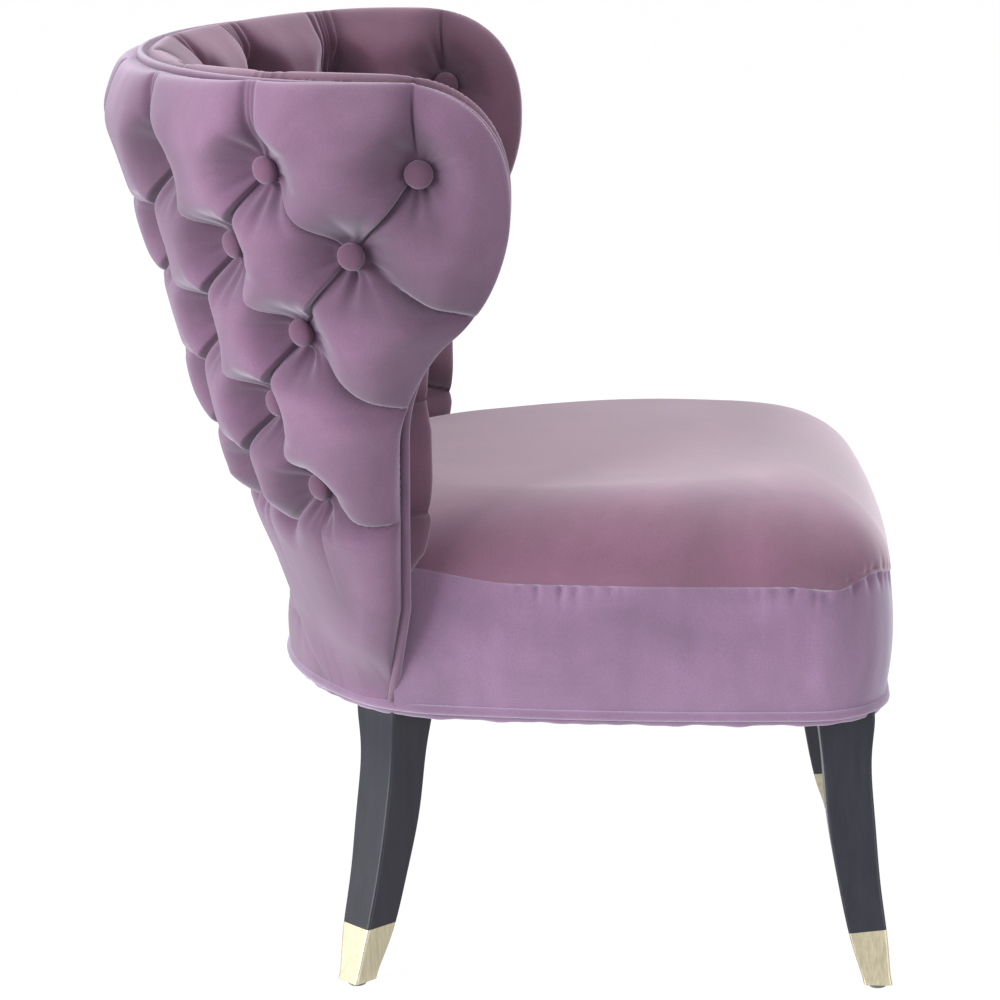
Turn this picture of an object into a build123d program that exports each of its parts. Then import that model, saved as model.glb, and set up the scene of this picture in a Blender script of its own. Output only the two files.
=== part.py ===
"""Deep-buttoned wing-back accent chair as separate solids.

Millimetres. Z is up, the front of the chair is -Y, left and right are the sitter's.
The origin lies on the floor, under the middle of the chair's bounding box.
"""

import math
import os
from functools import lru_cache

from build123d import *

# Clearances
FIT = 0.3
PAD_FIT = 0.9
BOLT_FIT = 0.05
SEAT_FIT = 1.0

# Seat plan and heights
SEAT_HALF_WIDTH = 244.0
SEAT_FRONT_HALF_WIDTH = 236.0
SEAT_FRONT_Y = -341.0
SEAT_FRONT_BOW = 9.0
SEAT_REAR_Y = 190.0
SEAT_SHOULDER_X = 222.0
SEAT_SHOULDER_Y = 88.0
SEAT_CORNER_RADIUS = 50.0
SEAT_SHOULDER_RADIUS = 80.0
SEAT_BASE_Z = 250.0
SEAM_Z = 362.0
CROWN_HEIGHT = 88.0
CROWN_CENTRE_Y = -80.0
CROWN_FLAT = 0.56
CROWN_TILT = 2.0
BORDER_BULGE = 4.0
COVER_THICKNESS = 3.0
BORDER_REAR_Y = 74.0
APRON_HALF_WIDTH = 169.0
WELT_RADIUS = 4.0
WELT_OVERHANG = 3.0
LEAST_TURN = 0.05

# Seat frame
RAIL_HEIGHT = 49.0
RAIL_THICKNESS = 25.0
FRONT_RAIL_HALF_WIDTH = 200.0
FRONT_RAIL_SET_BACK = 9.0
SIDE_RAIL_FRONT_X = 221.0
SIDE_RAIL_REAR_X = 196.0
SIDE_RAIL_REAR_Y = 108.0
REAR_RAIL_SET_IN = 6.0
REAR_RAIL_DEPTH = 40.0
BLOCK_LEG = 66.0
DUST_COVER_THICKNESS = 1.2
DUST_COVER_SET_IN = 9.0

# Springs
SPRING_COUNT = 5
SPRING_SPACING = 62.0
SPRING_WIRE_RADIUS = 1.9
SPRING_HALF_WIDTH = 22.0
SPRING_TURNS = 10
CLIP_WIDTH = 16.0
CLIP_LENGTH = 11.0
CLIP_METAL = 1.2
SPRING_COVER_GAP = 4.0
SPRING_COVER_THICKNESS = 2.0

# Back: a cone-like surface, given by its plan ellipse at the base and at the rim
BACK_BASE_Z = 242.0
RIM_Z = 797.0
BASE_HALF_WIDTH = 245.0
RIM_HALF_WIDTH = 312.0
BASE_CENTRE_Y = 30.0
RIM_CENTRE_Y = 90.0
BASE_REAR_Y = 145.0
RIM_REAR_Y = 320.0
SHELL_THICKNESS = 8.0
SHELL_EDGE_INSET = 7.5

# Wing outline in side view: a near-vertical edge, an ogee of two arcs, a round top corner
EDGE_BASE_Y = 92.0
EDGE_TOP_Y = 78.0
OGEE_BASE_Z = 500.0
NOSE_Y = -11.0
NOSE_Z = 690.0

# Buttoning
COLUMN_PITCH = 124.0
COLUMN_REFERENCE_Z = 727.0
ROW_TOP_Z = 731.0
ROW_PITCH = 69.5
ROW_LAST_COLUMN = (3.5, 3.0, 2.5, 2.0, 2.5)
ROW_SPREAD = (1.0, 1.0, 1.0, 1.0, 0.925)
BUTTON_STRIP = 0.2
BUTTON_RADIUS = 12.0
BUTTON_RIM = 3.0
BUTTON_DOME = 4.5
BUTTON_POCKET = 13.2
OUTER_SEAT_DEPTH = 18.0
OUTER_CREASE = 17.0
OUTER_ROW_DROP = 4.0
INNER_SEAT_DEPTH = 18.0
INNER_CREASE = 15.0
INNER_ROW_RISE = 6.0
INNER_PAD_BASE_Z = 372.0
INNER_PEAK = 46.0
INNER_NOSE = 8.0
PAD_EDGE = 2.0

# Legs: section side and centre at the top, at the cap and at the foot
LEG_TOP_SIDE = 45.0
LEG_CAP_SIDE = 34.0
LEG_FOOT_SIDE = 25.0
LEG_CAP_Z = 50.0
LEG_FOOT_Z = 5.0
FRONT_LEG_TOP = (190.0, -308.0)
FRONT_LEG_FOOT = (247.0, -339.0)
REAR_LEG_TOP = (179.0, 89.0)
REAR_LEG_FOOT = (252.0, 122.0)
REAR_LEG_TURN = 45.0
LEG_BEND = 1.9
CAP_WALL = 1.4
CAP_TILT = 6.0
BOLT_RADIUS = 4.0
BOLT_IN_LEG = 36.0
BOLT_IN_RAIL = 40.0
FRONT_BOLT_INSET = 11.0
GLIDE_RADIUS = 8.5
GLIDE_FLAT_RADIUS = 6.0
GLIDE_PIN_RADIUS = 1.5
GLIDE_PIN_LENGTH = 14.0

# Angles that hold the back shell on the rails
BRACKET_COLUMNS = (-1.95, -1.0, 1.0, 1.95)
BRACKET_WIDTH = 28.0
BRACKET_FIT = 1.4
BRACKET_METAL = 3.0
BRACKET_FOOT = 15.0
BRACKET_HEIGHT = 55.0
SCREW_RADIUS = 2.0
SCREW_LENGTH = 11.0
SCREW_HEAD_RADIUS = 4.0
SCREW_HEAD_HEIGHT = 2.4

RAIL_TOP_Z = SEAT_BASE_Z + RAIL_HEIGHT
SHELL_HALF = SHELL_THICKNESS / 2
PAD_BASE = SHELL_HALF + PAD_FIT
SPRING_Z = RAIL_TOP_Z + SPRING_WIRE_RADIUS + FIT
SPRING_COVER_Z = SPRING_Z + SPRING_COVER_GAP
FOAM_BASE_Z = SPRING_COVER_Z + SPRING_COVER_THICKNESS + FIT
FRONT_RAIL_Y = SEAT_FRONT_Y + FRONT_RAIL_SET_BACK


def save(shape, node):
    """Write one node."""
    export_step(shape, f"parts/{node}.step")


def group(shapes):
    """One node of several separate solids."""
    return Compound([solid for shape in shapes for solid in shape.solids()])


def prism(points, low, high):
    """Upright prism on a polygon of plan points."""
    face = make_face(Polyline(*points, close=True))
    return Pos(0, 0, low) * extrude(face, high - low, dir=(0, 0, 1))


def block(x_low, x_high, y_low, y_high, z_low, z_high):
    """Box given by its limits."""
    size = (x_high - x_low, y_high - y_low, z_high - z_low)
    centre = ((x_low + x_high) / 2, (y_low + y_high) / 2, (z_low + z_high) / 2)
    return Pos(*centre) * Box(*size)


def bend(first, middle, last):
    """Arc through three points, or a line where they lie in a row."""
    start, half, end = (Vector(*point) for point in (first, middle, last))
    if ((start + end) / 2 - half).length < 0.02:
        return Line(first, last)
    if (half - start).normalized().cross((end - start).normalized()).length < 1e-4:
        return Line(first, last)
    return ThreePointArc(first, middle, last)


def mirrored(shape):
    """The same piece on the other side of the chair."""
    return mirror(shape, about=Plane.YZ)


# Surface of the back


def rise(z, base, rim):
    """Value at a height that runs straight from the base to the rim."""
    return base + (rim - base) * (z - BACK_BASE_Z) / (RIM_Z - BACK_BASE_Z)


def half_width(z):
    return rise(z, BASE_HALF_WIDTH, RIM_HALF_WIDTH)


def centre_y(z):
    return rise(z, BASE_CENTRE_Y, RIM_CENTRE_Y)


def depth(z):
    return rise(z, BASE_REAR_Y, RIM_REAR_Y) - centre_y(z)


@lru_cache(maxsize=None)
def arc_to(angle):
    """Arc from the rear centre to an angle of the plan ellipse, at the reference height."""
    wide = half_width(COLUMN_REFERENCE_Z)
    deep = depth(COLUMN_REFERENCE_Z)
    steps = 48
    total = 0.0
    for i in range(steps):
        turn = angle * (i + 0.5) / steps
        total += math.hypot(wide * math.cos(turn), deep * math.sin(turn))
    return total * angle / steps


SIDE_COLUMN = arc_to(math.pi / 2) / COLUMN_PITCH


@lru_cache(maxsize=None)
def angle_at(column):
    """Angle of the plan ellipse at a column between the rear centre and the side."""
    low = 0.0
    high = math.pi / 2
    for _ in range(40):
        middle = (low + high) / 2
        if arc_to(middle) < column * COLUMN_PITCH:
            low = middle
        else:
            high = middle
    return (low + high) / 2


def back_plan(column, z):
    """Point and outward normal of the back surface at a column and a height."""
    side = math.copysign(1.0, column)
    reach = abs(column)
    wide = half_width(z)
    deep = depth(z)
    if reach > SIDE_COLUMN:
        ahead = (reach - SIDE_COLUMN) * COLUMN_PITCH
        return (side * wide, centre_y(z) - ahead), (side, 0.0)
    turn = angle_at(reach)
    point = (side * wide * math.sin(turn), centre_y(z) + deep * math.cos(turn))
    normal = (side * deep * math.sin(turn), wide * math.cos(turn))
    size = math.hypot(*normal)
    return point, (normal[0] / size, normal[1] / size)


def back_point(column, z, out):
    """Point at a distance outside (or, below nought, inside) the back surface."""
    point, normal = back_plan(column, z)
    return (point[0] + normal[0] * out, point[1] + normal[1] * out, z)


def back_normal(column, z):
    """Outward normal of the back surface in space."""
    low = Vector(*back_point(column, z - 1, 0))
    high = Vector(*back_point(column, z + 1, 0))
    flat = back_plan(column, z)[1]
    along = Vector(-flat[1], flat[0], 0)
    normal = along.cross(high - low).normalized()
    if normal.dot(Vector(flat[0], flat[1], 0)) < 0:
        normal = -normal
    return normal


OGEE_RISE = (NOSE_Z - OGEE_BASE_Z) / 2
OGEE_STEP = (EDGE_TOP_Y - NOSE_Y) / 2
OGEE_RADIUS = (OGEE_RISE ** 2 + OGEE_STEP ** 2) / (2 * OGEE_STEP)
CORNER_RADIUS = RIM_Z - NOSE_Z


def arc_drop(run, radius):
    """How far an arc has left its tangent after a run along it."""
    return radius - math.sqrt(max(radius ** 2 - run ** 2, 0.0))


def wing_edge(z):
    """Y of the front edge of the wing at a height."""
    if z < OGEE_BASE_Z:
        share = (z - SEAT_BASE_Z) / (OGEE_BASE_Z - SEAT_BASE_Z)
        return EDGE_BASE_Y + (EDGE_TOP_Y - EDGE_BASE_Y) * share
    if z < OGEE_BASE_Z + OGEE_RISE:
        return EDGE_TOP_Y - arc_drop(z - OGEE_BASE_Z, OGEE_RADIUS)
    if z < NOSE_Z:
        return NOSE_Y + arc_drop(NOSE_Z - z, OGEE_RADIUS)
    return NOSE_Y + arc_drop(min(z, RIM_Z) - NOSE_Z, CORNER_RADIUS)


def edge_column(z):
    """Column of the front edge of the wing at a height."""
    y = wing_edge(z)
    ahead = centre_y(z) - y
    if ahead > 0:
        return SIDE_COLUMN + ahead / COLUMN_PITCH
    return arc_to(math.acos(-ahead / depth(z))) / COLUMN_PITCH


def wing_profile(inset):
    """Side outline of the back, drawn in the YZ plane, this far inside its edges."""
    low = RAIL_TOP_Z - 100
    top = RIM_Z - inset
    middle = (EDGE_TOP_Y - OGEE_STEP + inset, OGEE_BASE_Z + OGEE_RISE)
    foot = (wing_edge(SEAT_BASE_Z) + inset, low)
    start = (EDGE_TOP_Y + inset, OGEE_BASE_Z)
    nose = (NOSE_Y + inset, NOSE_Z)
    half = OGEE_RISE / 2
    lower = (start[0] - arc_drop(half, OGEE_RADIUS), OGEE_BASE_Z + half)
    upper = (nose[0] + arc_drop(half, OGEE_RADIUS), NOSE_Z - half)
    radius = CORNER_RADIUS - inset
    slant = radius * math.sqrt(0.5)
    centre = (nose[0] + radius, NOSE_Z)
    round_middle = (centre[0] - slant, centre[1] + slant)
    round_end = (centre[0], top)
    rear = RIM_REAR_Y + 200
    edges = [
        Line(foot, start),
        ThreePointArc(start, lower, middle),
        ThreePointArc(middle, upper, nose),
        ThreePointArc(nose, round_middle, round_end),
        Line(round_end, (rear, top)),
        Line((rear, top), (rear, low)),
        Line((rear, low), foot),
    ]
    return make_face(edges)


def shell_arcs(columns, z, out):
    """Arcs along the back surface through a run of columns."""
    edges = []
    for first, last in zip(columns, columns[1:]):
        ends = [back_point(c, z, out) for c in (first, (first + last) / 2, last)]
        edges.append(bend(*ends))
    return edges


def shell_columns(end):
    """Columns from the right edge to the left one, close together where the side turns straight."""
    side = SIDE_COLUMN if end > SIDE_COLUMN + 0.08 else end - 0.08
    half = [end, side, min(2.7, side - 0.1), 2.0, 1.0]
    return half + [0.0] + [-c for c in reversed(half)]


def slab_wire(z, columns, inside, outside):
    """Closed outline of a layer of the back at a height."""
    back = list(reversed(columns))
    edges = shell_arcs(columns, z, outside)
    edges.append(Line(back_point(columns[-1], z, outside), back_point(columns[-1], z, inside)))
    edges += shell_arcs(back, z, inside)
    edges.append(Line(back_point(columns[0], z, inside), back_point(columns[0], z, outside)))
    return Wire(edges)


# Buttons


def row_z(row):
    return ROW_TOP_Z - row * ROW_PITCH


def has_button(row, column):
    """Whether a row has a button at a column; odd rows lie half a column over."""
    if row < 0 or row >= len(ROW_LAST_COLUMN):
        return False
    last = ROW_LAST_COLUMN[row]
    reach = abs(column)
    return reach <= last + 0.01 and abs((last - reach) % 1.0) < 0.01


def button_spots():
    """Column and height of every button of one face of the back."""
    spots = []
    for row, last in enumerate(ROW_LAST_COLUMN):
        count = int(round(2 * last)) + 1
        spots += [((i - last) * ROW_SPREAD[row], row_z(row)) for i in range(count)]
    return spots


def along_normal(column, z, out):
    """Frame on the back surface, its own Z along the outward normal."""
    normal = back_normal(column, z)
    foot = Vector(*back_point(column, z, 0)) + normal * out
    return Plane(origin=foot, z_dir=normal).location


def button():
    """Covered button: a short rim and a dome, its back on the local XY plane."""
    rim_top = (BUTTON_RADIUS, BUTTON_RIM)
    crown = BUTTON_RIM + BUTTON_DOME
    sphere = (BUTTON_RADIUS ** 2 + BUTTON_DOME ** 2) / (2 * BUTTON_DOME)
    middle = (BUTTON_RADIUS / 2, crown - arc_drop(BUTTON_RADIUS / 2, sphere))
    edges = [
        Line((0, 0), (BUTTON_RADIUS, 0)),
        Line((BUTTON_RADIUS, 0), rim_top),
        ThreePointArc(rim_top, middle, (0, crown)),
        Line((0, crown), (0, 0)),
    ]
    profile = Plane.XZ * make_face(edges)
    return revolve(profile, Axis.Z)


def buttons(out, flip):
    """All buttons of one face, this far from the back surface."""
    piece = button()
    if flip:
        piece = Rot(180, 0, 0) * piece
    return group([along_normal(c, z, out) * piece for c, z in button_spots()])


def rods(radius, low, high):
    """Straight rods through the back at every button, between two distances."""
    rod = Pos(0, 0, low) * Cylinder(radius, high - low, align=(Align.CENTER, Align.CENTER, Align.MIN))
    return [along_normal(c, z, 0) * rod for c, z in button_spots()]


def cut_all(shape, tools):
    """Take several tools from a solid, and keep its largest piece."""
    left = shape - tools
    return max(left.solids(), key=lambda solid: solid.volume)


# Buttoned pads


def cusp_columns(row, share):
    """Creases of one half of a section: their columns and their buttons.

    Row is a row number; share is nought on that row and one on the row below.
    """
    strip = BUTTON_STRIP / 2
    spread = ROW_SPREAD[row]
    spread_below = ROW_SPREAD[min(row + 1, len(ROW_SPREAD) - 1)]
    creases = []
    for i in range(8):
        home = i // 2 + 0.5
        side = -1 if i % 2 == 0 else 1
        half_row = (home + side * strip, home)
        whole_row = (home + side * (0.5 - strip), home + side * 0.5)
        here, below = (half_row, whole_row) if row % 2 == 0 else (whole_row, half_row)
        column = here[0] * spread + (below[0] * spread_below - here[0] * spread) * share
        creases.append((column, here[1], below[1]))
    return creases


def pad_wire(z, end, stations, heights, middles, side, edge):
    """Closed outline of a pad at a height; side is 1 outside the shell and -1 inside."""
    edges = []
    points = [back_point(c, z, side * h) for c, h in zip(stations, heights)]
    for i, height in enumerate(middles):
        middle = (stations[i] + stations[i + 1]) / 2
        edges.append(bend(points[i], back_point(middle, z, side * height), points[i + 1]))
    inner = shell_columns(end)
    edges.append(Line(points[-1], back_point(end, z, side * PAD_BASE)))
    edges += shell_arcs(inner, z, side * PAD_BASE)
    edges.append(Line(back_point(-end, z, side * PAD_BASE), points[0]))
    return Wire(edges)


def mirror_half(values):
    """Values of one half, written for both halves from left to right."""
    return [-v for v in reversed(values)] + list(values)


def pad_section(z, end, row, share, peak, crease, seat, side, plain=False, pleats=False):
    """Section of a pad: pillows between creases, drawn down to the buttons on a row."""
    half = cusp_columns(row, share)
    columns = []
    heights = []
    deep = []
    for i, (column, here, below) in enumerate(half):
        column = min(column, end - 0.16 + 0.01 * i)
        if plain:
            pulled = False
        elif pleats:
            pulled = has_button(0, here)
        elif share == 0:
            pulled = has_button(row, here)
        else:
            pulled = has_button(row, here) and has_button(row + 1, below)
        on_button = pulled and share == 0 and not pleats
        columns.append(column)
        heights.append(seat if on_button else peak - crease if pulled else peak)
        deep.append(here if on_button else None)
    edge = PAD_BASE + PAD_EDGE
    spans = []
    for i in range(len(half) - 1):
        same = deep[i] is not None and deep[i] == deep[i + 1]
        low = max(heights[i], heights[i + 1])
        gap = columns[i + 1] - columns[i]
        puff = peak - 0.35 * (peak - low) if gap < 0.3 and low < peak else peak
        spans.append(seat if same else puff)
    centre = seat if deep[0] == 0 else peak
    last = (heights[-1] + 2 * edge) / 3 + 0.25 * (peak - edge)
    stations = [-end] + mirror_half(columns) + [end]
    station_heights = [edge] + heights[::-1] + heights + [edge]
    middles = [last] + spans[::-1] + [centre] + spans + [last]
    return pad_wire(z, end, stations, station_heights, middles, side, edge)


def outer_sections():
    """Sections of the outer pad from the bottom welt up to the rim."""
    base = SEAT_BASE_Z + FIT
    peak = 50.0
    last = len(ROW_LAST_COLUMN) - 1
    plain = [(base, 16.0), (RAIL_TOP_Z + 20, 34.0), (row_z(last) - 48, 44.0)]
    wires = []
    for z, height in plain:
        wires.append(pad_section(z, edge_column(z), last, 0, height, 0, 0, 1, plain=True))
    for row in range(last, -1, -1):
        z = row_z(row) - OUTER_ROW_DROP
        wires.append(pad_section(z, edge_column(z), row, 0, peak, 0, OUTER_SEAT_DEPTH, 1))
        if row > 0:
            z += ROW_PITCH / 2
            end = edge_column(z)
            wires.append(pad_section(z, end, row - 1, 0.5, peak, OUTER_CREASE, 0, 1))
    for z, height, crease in ((765.0, 46.0, 9.0), (784.0, 37.0, 5.0), (RIM_Z, 17.0, 2.0)):
        wires.append(pad_section(z, edge_column(z), 0, 0, height, crease, 0, 1, pleats=True))
    return wires


def inner_sections():
    """Sections of the inner pad from behind the seat up to the rim."""
    nose = INNER_NOSE / COLUMN_PITCH
    last = len(ROW_LAST_COLUMN) - 1
    wires = []
    for z, height in ((INNER_PAD_BASE_Z, 30.0), (row_z(last) - 40, 40.0)):
        end = edge_column(z) + nose
        wires.append(pad_section(z, end, last, 0, height, 0, 0, -1, plain=True))
    for row in range(last, -1, -1):
        z = row_z(row) + INNER_ROW_RISE
        end = edge_column(z) + nose
        wires.append(pad_section(z, end, row, 0, INNER_PEAK, 0, INNER_SEAT_DEPTH, -1))
        if row > 0:
            z += ROW_PITCH / 2
            end = edge_column(z) + nose
            wires.append(pad_section(z, end, row - 1, 0.5, INNER_PEAK, INNER_CREASE, 0, -1))
    for z, height, crease in ((770.0, 44.0, 8.0), (787.0, 36.0, 5.0), (RIM_Z, 17.0, 2.0)):
        end = edge_column(z) + nose / 2
        wires.append(pad_section(z, end, 0, 0, height, crease, 0, -1, pleats=True))
    return wires


def outer_pad():
    pad = Solid.make_loft(outer_sections(), ruled=True)
    rear = SEAT_REAR_Y + 100
    under = block(-APRON_HALF_WIDTH - FIT, APRON_HALF_WIDTH + FIT, 0, rear, 0, RAIL_TOP_Z + FIT)
    side = side_rail_zone(FIT)
    pockets = rods(BUTTON_POCKET, OUTER_SEAT_DEPTH, OUTER_SEAT_DEPTH + 80)
    return cut_all(pad, [under] + side + pockets)


def inner_pad():
    pad = Solid.make_loft(inner_sections(), ruled=True)
    pockets = rods(BUTTON_POCKET, -INNER_SEAT_DEPTH - 80, -INNER_SEAT_DEPTH)
    return cut_all(pad, pockets)


def back_shell():
    columns = shell_columns(SIDE_COLUMN + 0.8)
    low = slab_wire(RAIL_TOP_Z + FIT, columns, -SHELL_HALF, SHELL_HALF)
    high = slab_wire(RIM_Z + 20, columns, -SHELL_HALF, SHELL_HALF)
    slab = Solid.make_loft([low, high], ruled=True)
    profile = Plane.YZ * wing_profile(SHELL_EDGE_INSET)
    outline = extrude(profile, RIM_HALF_WIDTH + 100, both=True)
    return (slab & outline).solid()


def bent(points):
    """Points of a path without those that lie in line with both neighbours."""
    kept = points[:1]
    for here, after in zip(points[1:], points[2:]):
        if (here - kept[-1]).get_angle(after - here) > LEAST_TURN:
            kept.append(here)
    return kept + points[-1:]


def rim_welt():
    """Piping along both front edges and the rim, on straight runs joined by arcs."""
    base = SEAT_BASE_Z + FIT
    heights = [base + (OGEE_BASE_Z - base) * i / 6 for i in range(6)]
    heights += [OGEE_BASE_Z + OGEE_RISE * 2 * i / 5 for i in range(1, 6)]
    heights += [NOSE_Z + CORNER_RADIUS * math.sin(math.pi / 2 * i / 5) for i in range(1, 5)]
    side = [back_point(edge_column(z), z, 0) for z in heights]
    start = edge_column(RIM_Z)
    count = 14
    rim = [back_point(start * (1 - i / count), RIM_Z, 0) for i in range(count)]
    half = side + rim
    other = [(-x, y, z) for x, y, z in reversed(half)]
    points = bent([Vector(*p) for p in half + [back_point(0, RIM_Z, 0)] + other])
    radii = []
    for before, here, after in zip(points, points[1:], points[2:]):
        into = (here - before)
        away = (after - here)
        turn = math.radians(into.get_angle(away))
        run = min(into.length, away.length)
        radii.append(0.45 * run / math.tan(max(turn, 0.005) / 2))
    path = FilletPolyline(*points, radius=radii)
    ring = Plane(origin=points[0], z_dir=points[1] - points[0]) * Circle(WELT_RADIUS - FIT)
    return sweep(ring, path)


# Seat


def seat_outline(inset):
    """Plan of the seat, this far inside its border."""
    front_x = SEAT_FRONT_HALF_WIDTH - inset
    front_y = SEAT_FRONT_Y + inset
    wide = SEAT_HALF_WIDTH - inset
    shoulder_x = SEAT_SHOULDER_X - inset
    shoulder_y = SEAT_SHOULDER_Y - 0.3 * inset
    rear_y = SEAT_REAR_Y - inset
    middle_y = (front_y + shoulder_y) / 2
    edges = [
        ThreePointArc((-front_x, front_y), (0, front_y - SEAT_FRONT_BOW), (front_x, front_y)),
        ThreePointArc((front_x, front_y), (wide, middle_y), (shoulder_x, shoulder_y)),
        ThreePointArc((shoulder_x, shoulder_y), (0, rear_y), (-shoulder_x, shoulder_y)),
        ThreePointArc((-shoulder_x, shoulder_y), (-wide, middle_y), (-front_x, front_y)),
    ]
    face = make_face(edges)
    front = face.vertices().sort_by(Axis.Y)[:2]
    face = fillet(front, SEAT_CORNER_RADIUS + 0.15 * inset)
    shoulders = face.vertices().sort_by(Axis.Y)[-2:]
    return fillet(shoulders, SEAT_SHOULDER_RADIUS)


def seat_layer(low, high, inset):
    """Flat layer of the seat plan."""
    return Pos(0, 0, low) * extrude(seat_outline(inset).face(), high - low, dir=(0, 0, 1))


def seat_ring(low, high, inset, width):
    """Upright band that follows the seat plan."""
    return seat_layer(low, high, inset) - seat_layer(low - 1, high + 1, inset + width)


def seat_side(inset, low):
    """Body of the seat below the seam, drawn in at both ends of its height."""
    middle = (SEAT_BASE_Z + SEAM_Z) / 2
    heights = ((low, inset), (middle, inset - BORDER_BULGE), (SEAM_Z, inset + 1))
    return loft([Pos(0, 0, z) * seat_outline(i).face() for z, i in heights])


def seat_crown(inset, foot):
    """Crowned top of the seat: rounded from the seam up to a nearly flat middle that falls to the rear."""
    plan = seat_outline(1 + inset).face()
    faces = [Pos(0, 0, foot) * plan]
    for turn in (18, 38, 58, 76, 90):
        lift = math.sin(math.radians(turn))
        size = CROWN_FLAT + (1 - CROWN_FLAT) * math.cos(math.radians(turn))
        shrunk = scale(Pos(0, -CROWN_CENTRE_Y, 0) * plan, by=size)
        tilted = Rot(-CROWN_TILT * lift, 0, 0) * shrunk
        faces.append(Pos(0, CROWN_CENTRE_Y, SEAM_Z + (CROWN_HEIGHT - inset) * lift) * tilted)
    return loft(faces)


def back_zone():
    """Room that the back takes from the seat: all behind the wings but the space between them."""
    low = RAIL_TOP_Z
    high = RIM_Z
    columns = [-3.2, -2.4, -1.2, 0.0, 1.2, 2.4, 3.2]
    wires = []
    for z in (low, high):
        arcs = shell_arcs(columns, z, -INNER_PEAK - SEAT_FIT)
        first = back_point(columns[0], z, -INNER_PEAK - SEAT_FIT)
        last = back_point(columns[-1], z, -INNER_PEAK - SEAT_FIT)
        fore_left = (first[0], SEAT_FRONT_Y, z)
        fore_right = (last[0], SEAT_FRONT_Y, z)
        lines = [Line(last, fore_right), Line(fore_right, fore_left), Line(fore_left, first)]
        wires.append(Wire(arcs + lines))
    core = Solid.make_loft(wires, ruled=True)
    wide = RIM_HALF_WIDTH + 100
    fore = EDGE_TOP_Y - INNER_NOSE - SEAT_FIT
    return block(-wide, wide, fore, RIM_REAR_Y + 100, 0, high) - core


def seat_pieces():
    """Top cover, border and foam of the seat."""
    zone = back_zone()
    inside = COVER_THICKNESS
    crown = seat_crown(0, SEAM_Z)
    hollow = seat_crown(inside, SEAM_Z - 0.01)
    top = cut_all(crown - hollow, [zone])
    ahead = block(-400, 400, -500, BORDER_REAR_Y, 0, 500)
    base = SEAT_BASE_Z + FIT
    band = (seat_side(0, base) - seat_side(inside, base)) & ahead
    frame = frame_zone()
    body = seat_side(inside + FIT, base + 4) + seat_crown(inside + FIT, SEAM_Z)
    foam = cut_all(body, [zone, frame])
    return top, band.solid(), foam


# Seat frame


def side_rail_points():
    """Plan of the right rail of the seat frame: outer line, then inner line."""
    front = FRONT_RAIL_Y + RAIL_THICKNESS + FIT
    return [
        (-SIDE_RAIL_FRONT_X, front),
        (-SIDE_RAIL_REAR_X, SIDE_RAIL_REAR_Y),
        (-SIDE_RAIL_REAR_X + RAIL_THICKNESS, SIDE_RAIL_REAR_Y),
        (-SIDE_RAIL_FRONT_X + RAIL_THICKNESS, front),
    ]


def side_rail_zone(gap):
    """Room round both side rails."""
    outer = [(x - gap, y) for x, y in side_rail_points()[:2]]
    inner = [(x + gap, y) for x, y in side_rail_points()[2:]]
    right = prism(outer + inner, SEAT_BASE_Z - gap, RAIL_TOP_Z + gap)
    return [right, mirrored(right)]


def rail_inner_x(y):
    """X of the inner face of the right rail."""
    points = side_rail_points()
    share = (y - points[3][1]) / (points[2][1] - points[3][1])
    return points[3][0] + (points[2][0] - points[3][0]) * share


def frame_zone():
    """Room of the rails, springs and their cover below the seat foam."""
    points = [
        (-SIDE_RAIL_FRONT_X - FIT, FRONT_RAIL_Y + RAIL_THICKNESS - 12),
        (-FRONT_RAIL_HALF_WIDTH - FIT, FRONT_RAIL_Y - FIT),
        (FRONT_RAIL_HALF_WIDTH + FIT, FRONT_RAIL_Y - FIT),
        (SIDE_RAIL_FRONT_X + FIT, FRONT_RAIL_Y + RAIL_THICKNESS - 12),
        (SIDE_RAIL_REAR_X + FIT, SEAT_REAR_Y),
        (-SIDE_RAIL_REAR_X - FIT, SEAT_REAR_Y),
    ]
    return prism(points, 0, FOAM_BASE_Z)


def upright_rod(x, y, low, high, radius):
    """Upright cylinder between two heights."""
    rod = Cylinder(radius, high - low, align=(Align.CENTER, Align.CENTER, Align.MIN))
    return Pos(x, y, low) * rod


def front_bolt():
    return (FRONT_LEG_TOP[0] - FRONT_BOLT_INSET, FRONT_LEG_TOP[1] + FRONT_BOLT_INSET)


def rear_bolt():
    y = REAR_LEG_TOP[1]
    return (-rail_inner_x(y) + RAIL_THICKNESS / 2, y)


def bolt_holes():
    """Holes of the leg bolts, on both sides."""
    top = SEAT_BASE_Z + BOLT_IN_RAIL + FIT
    foot = SEAT_BASE_Z - BOLT_IN_LEG - FIT
    spots = [front_bolt(), rear_bolt()]
    return [upright_rod(s * x, y, foot, top, BOLT_RADIUS) for x, y in spots for s in (-1, 1)]


def leg_bolts():
    top = SEAT_BASE_Z + BOLT_IN_RAIL
    foot = SEAT_BASE_Z - BOLT_IN_LEG
    thin = BOLT_RADIUS - BOLT_FIT
    spots = [front_bolt(), rear_bolt()]
    return group([upright_rod(s * x, y, foot, top, thin) for x, y in spots for s in (-1, 1)])


def side_rail():
    rail = prism(side_rail_points(), SEAT_BASE_Z, RAIL_TOP_Z)
    return rail - bolt_holes()


def front_rail():
    wide = FRONT_RAIL_HALF_WIDTH
    y = FRONT_RAIL_Y
    return block(-wide, wide, y, y + RAIL_THICKNESS, SEAT_BASE_Z, RAIL_TOP_Z)


def rear_rail():
    ring = seat_ring(SEAT_BASE_Z, RAIL_TOP_Z, REAR_RAIL_SET_IN, REAR_RAIL_DEPTH)
    wide = APRON_HALF_WIDTH - FIT
    return (ring & block(-wide, wide, 20, SEAT_REAR_Y + 50, 0, 500)).solid()


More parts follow.
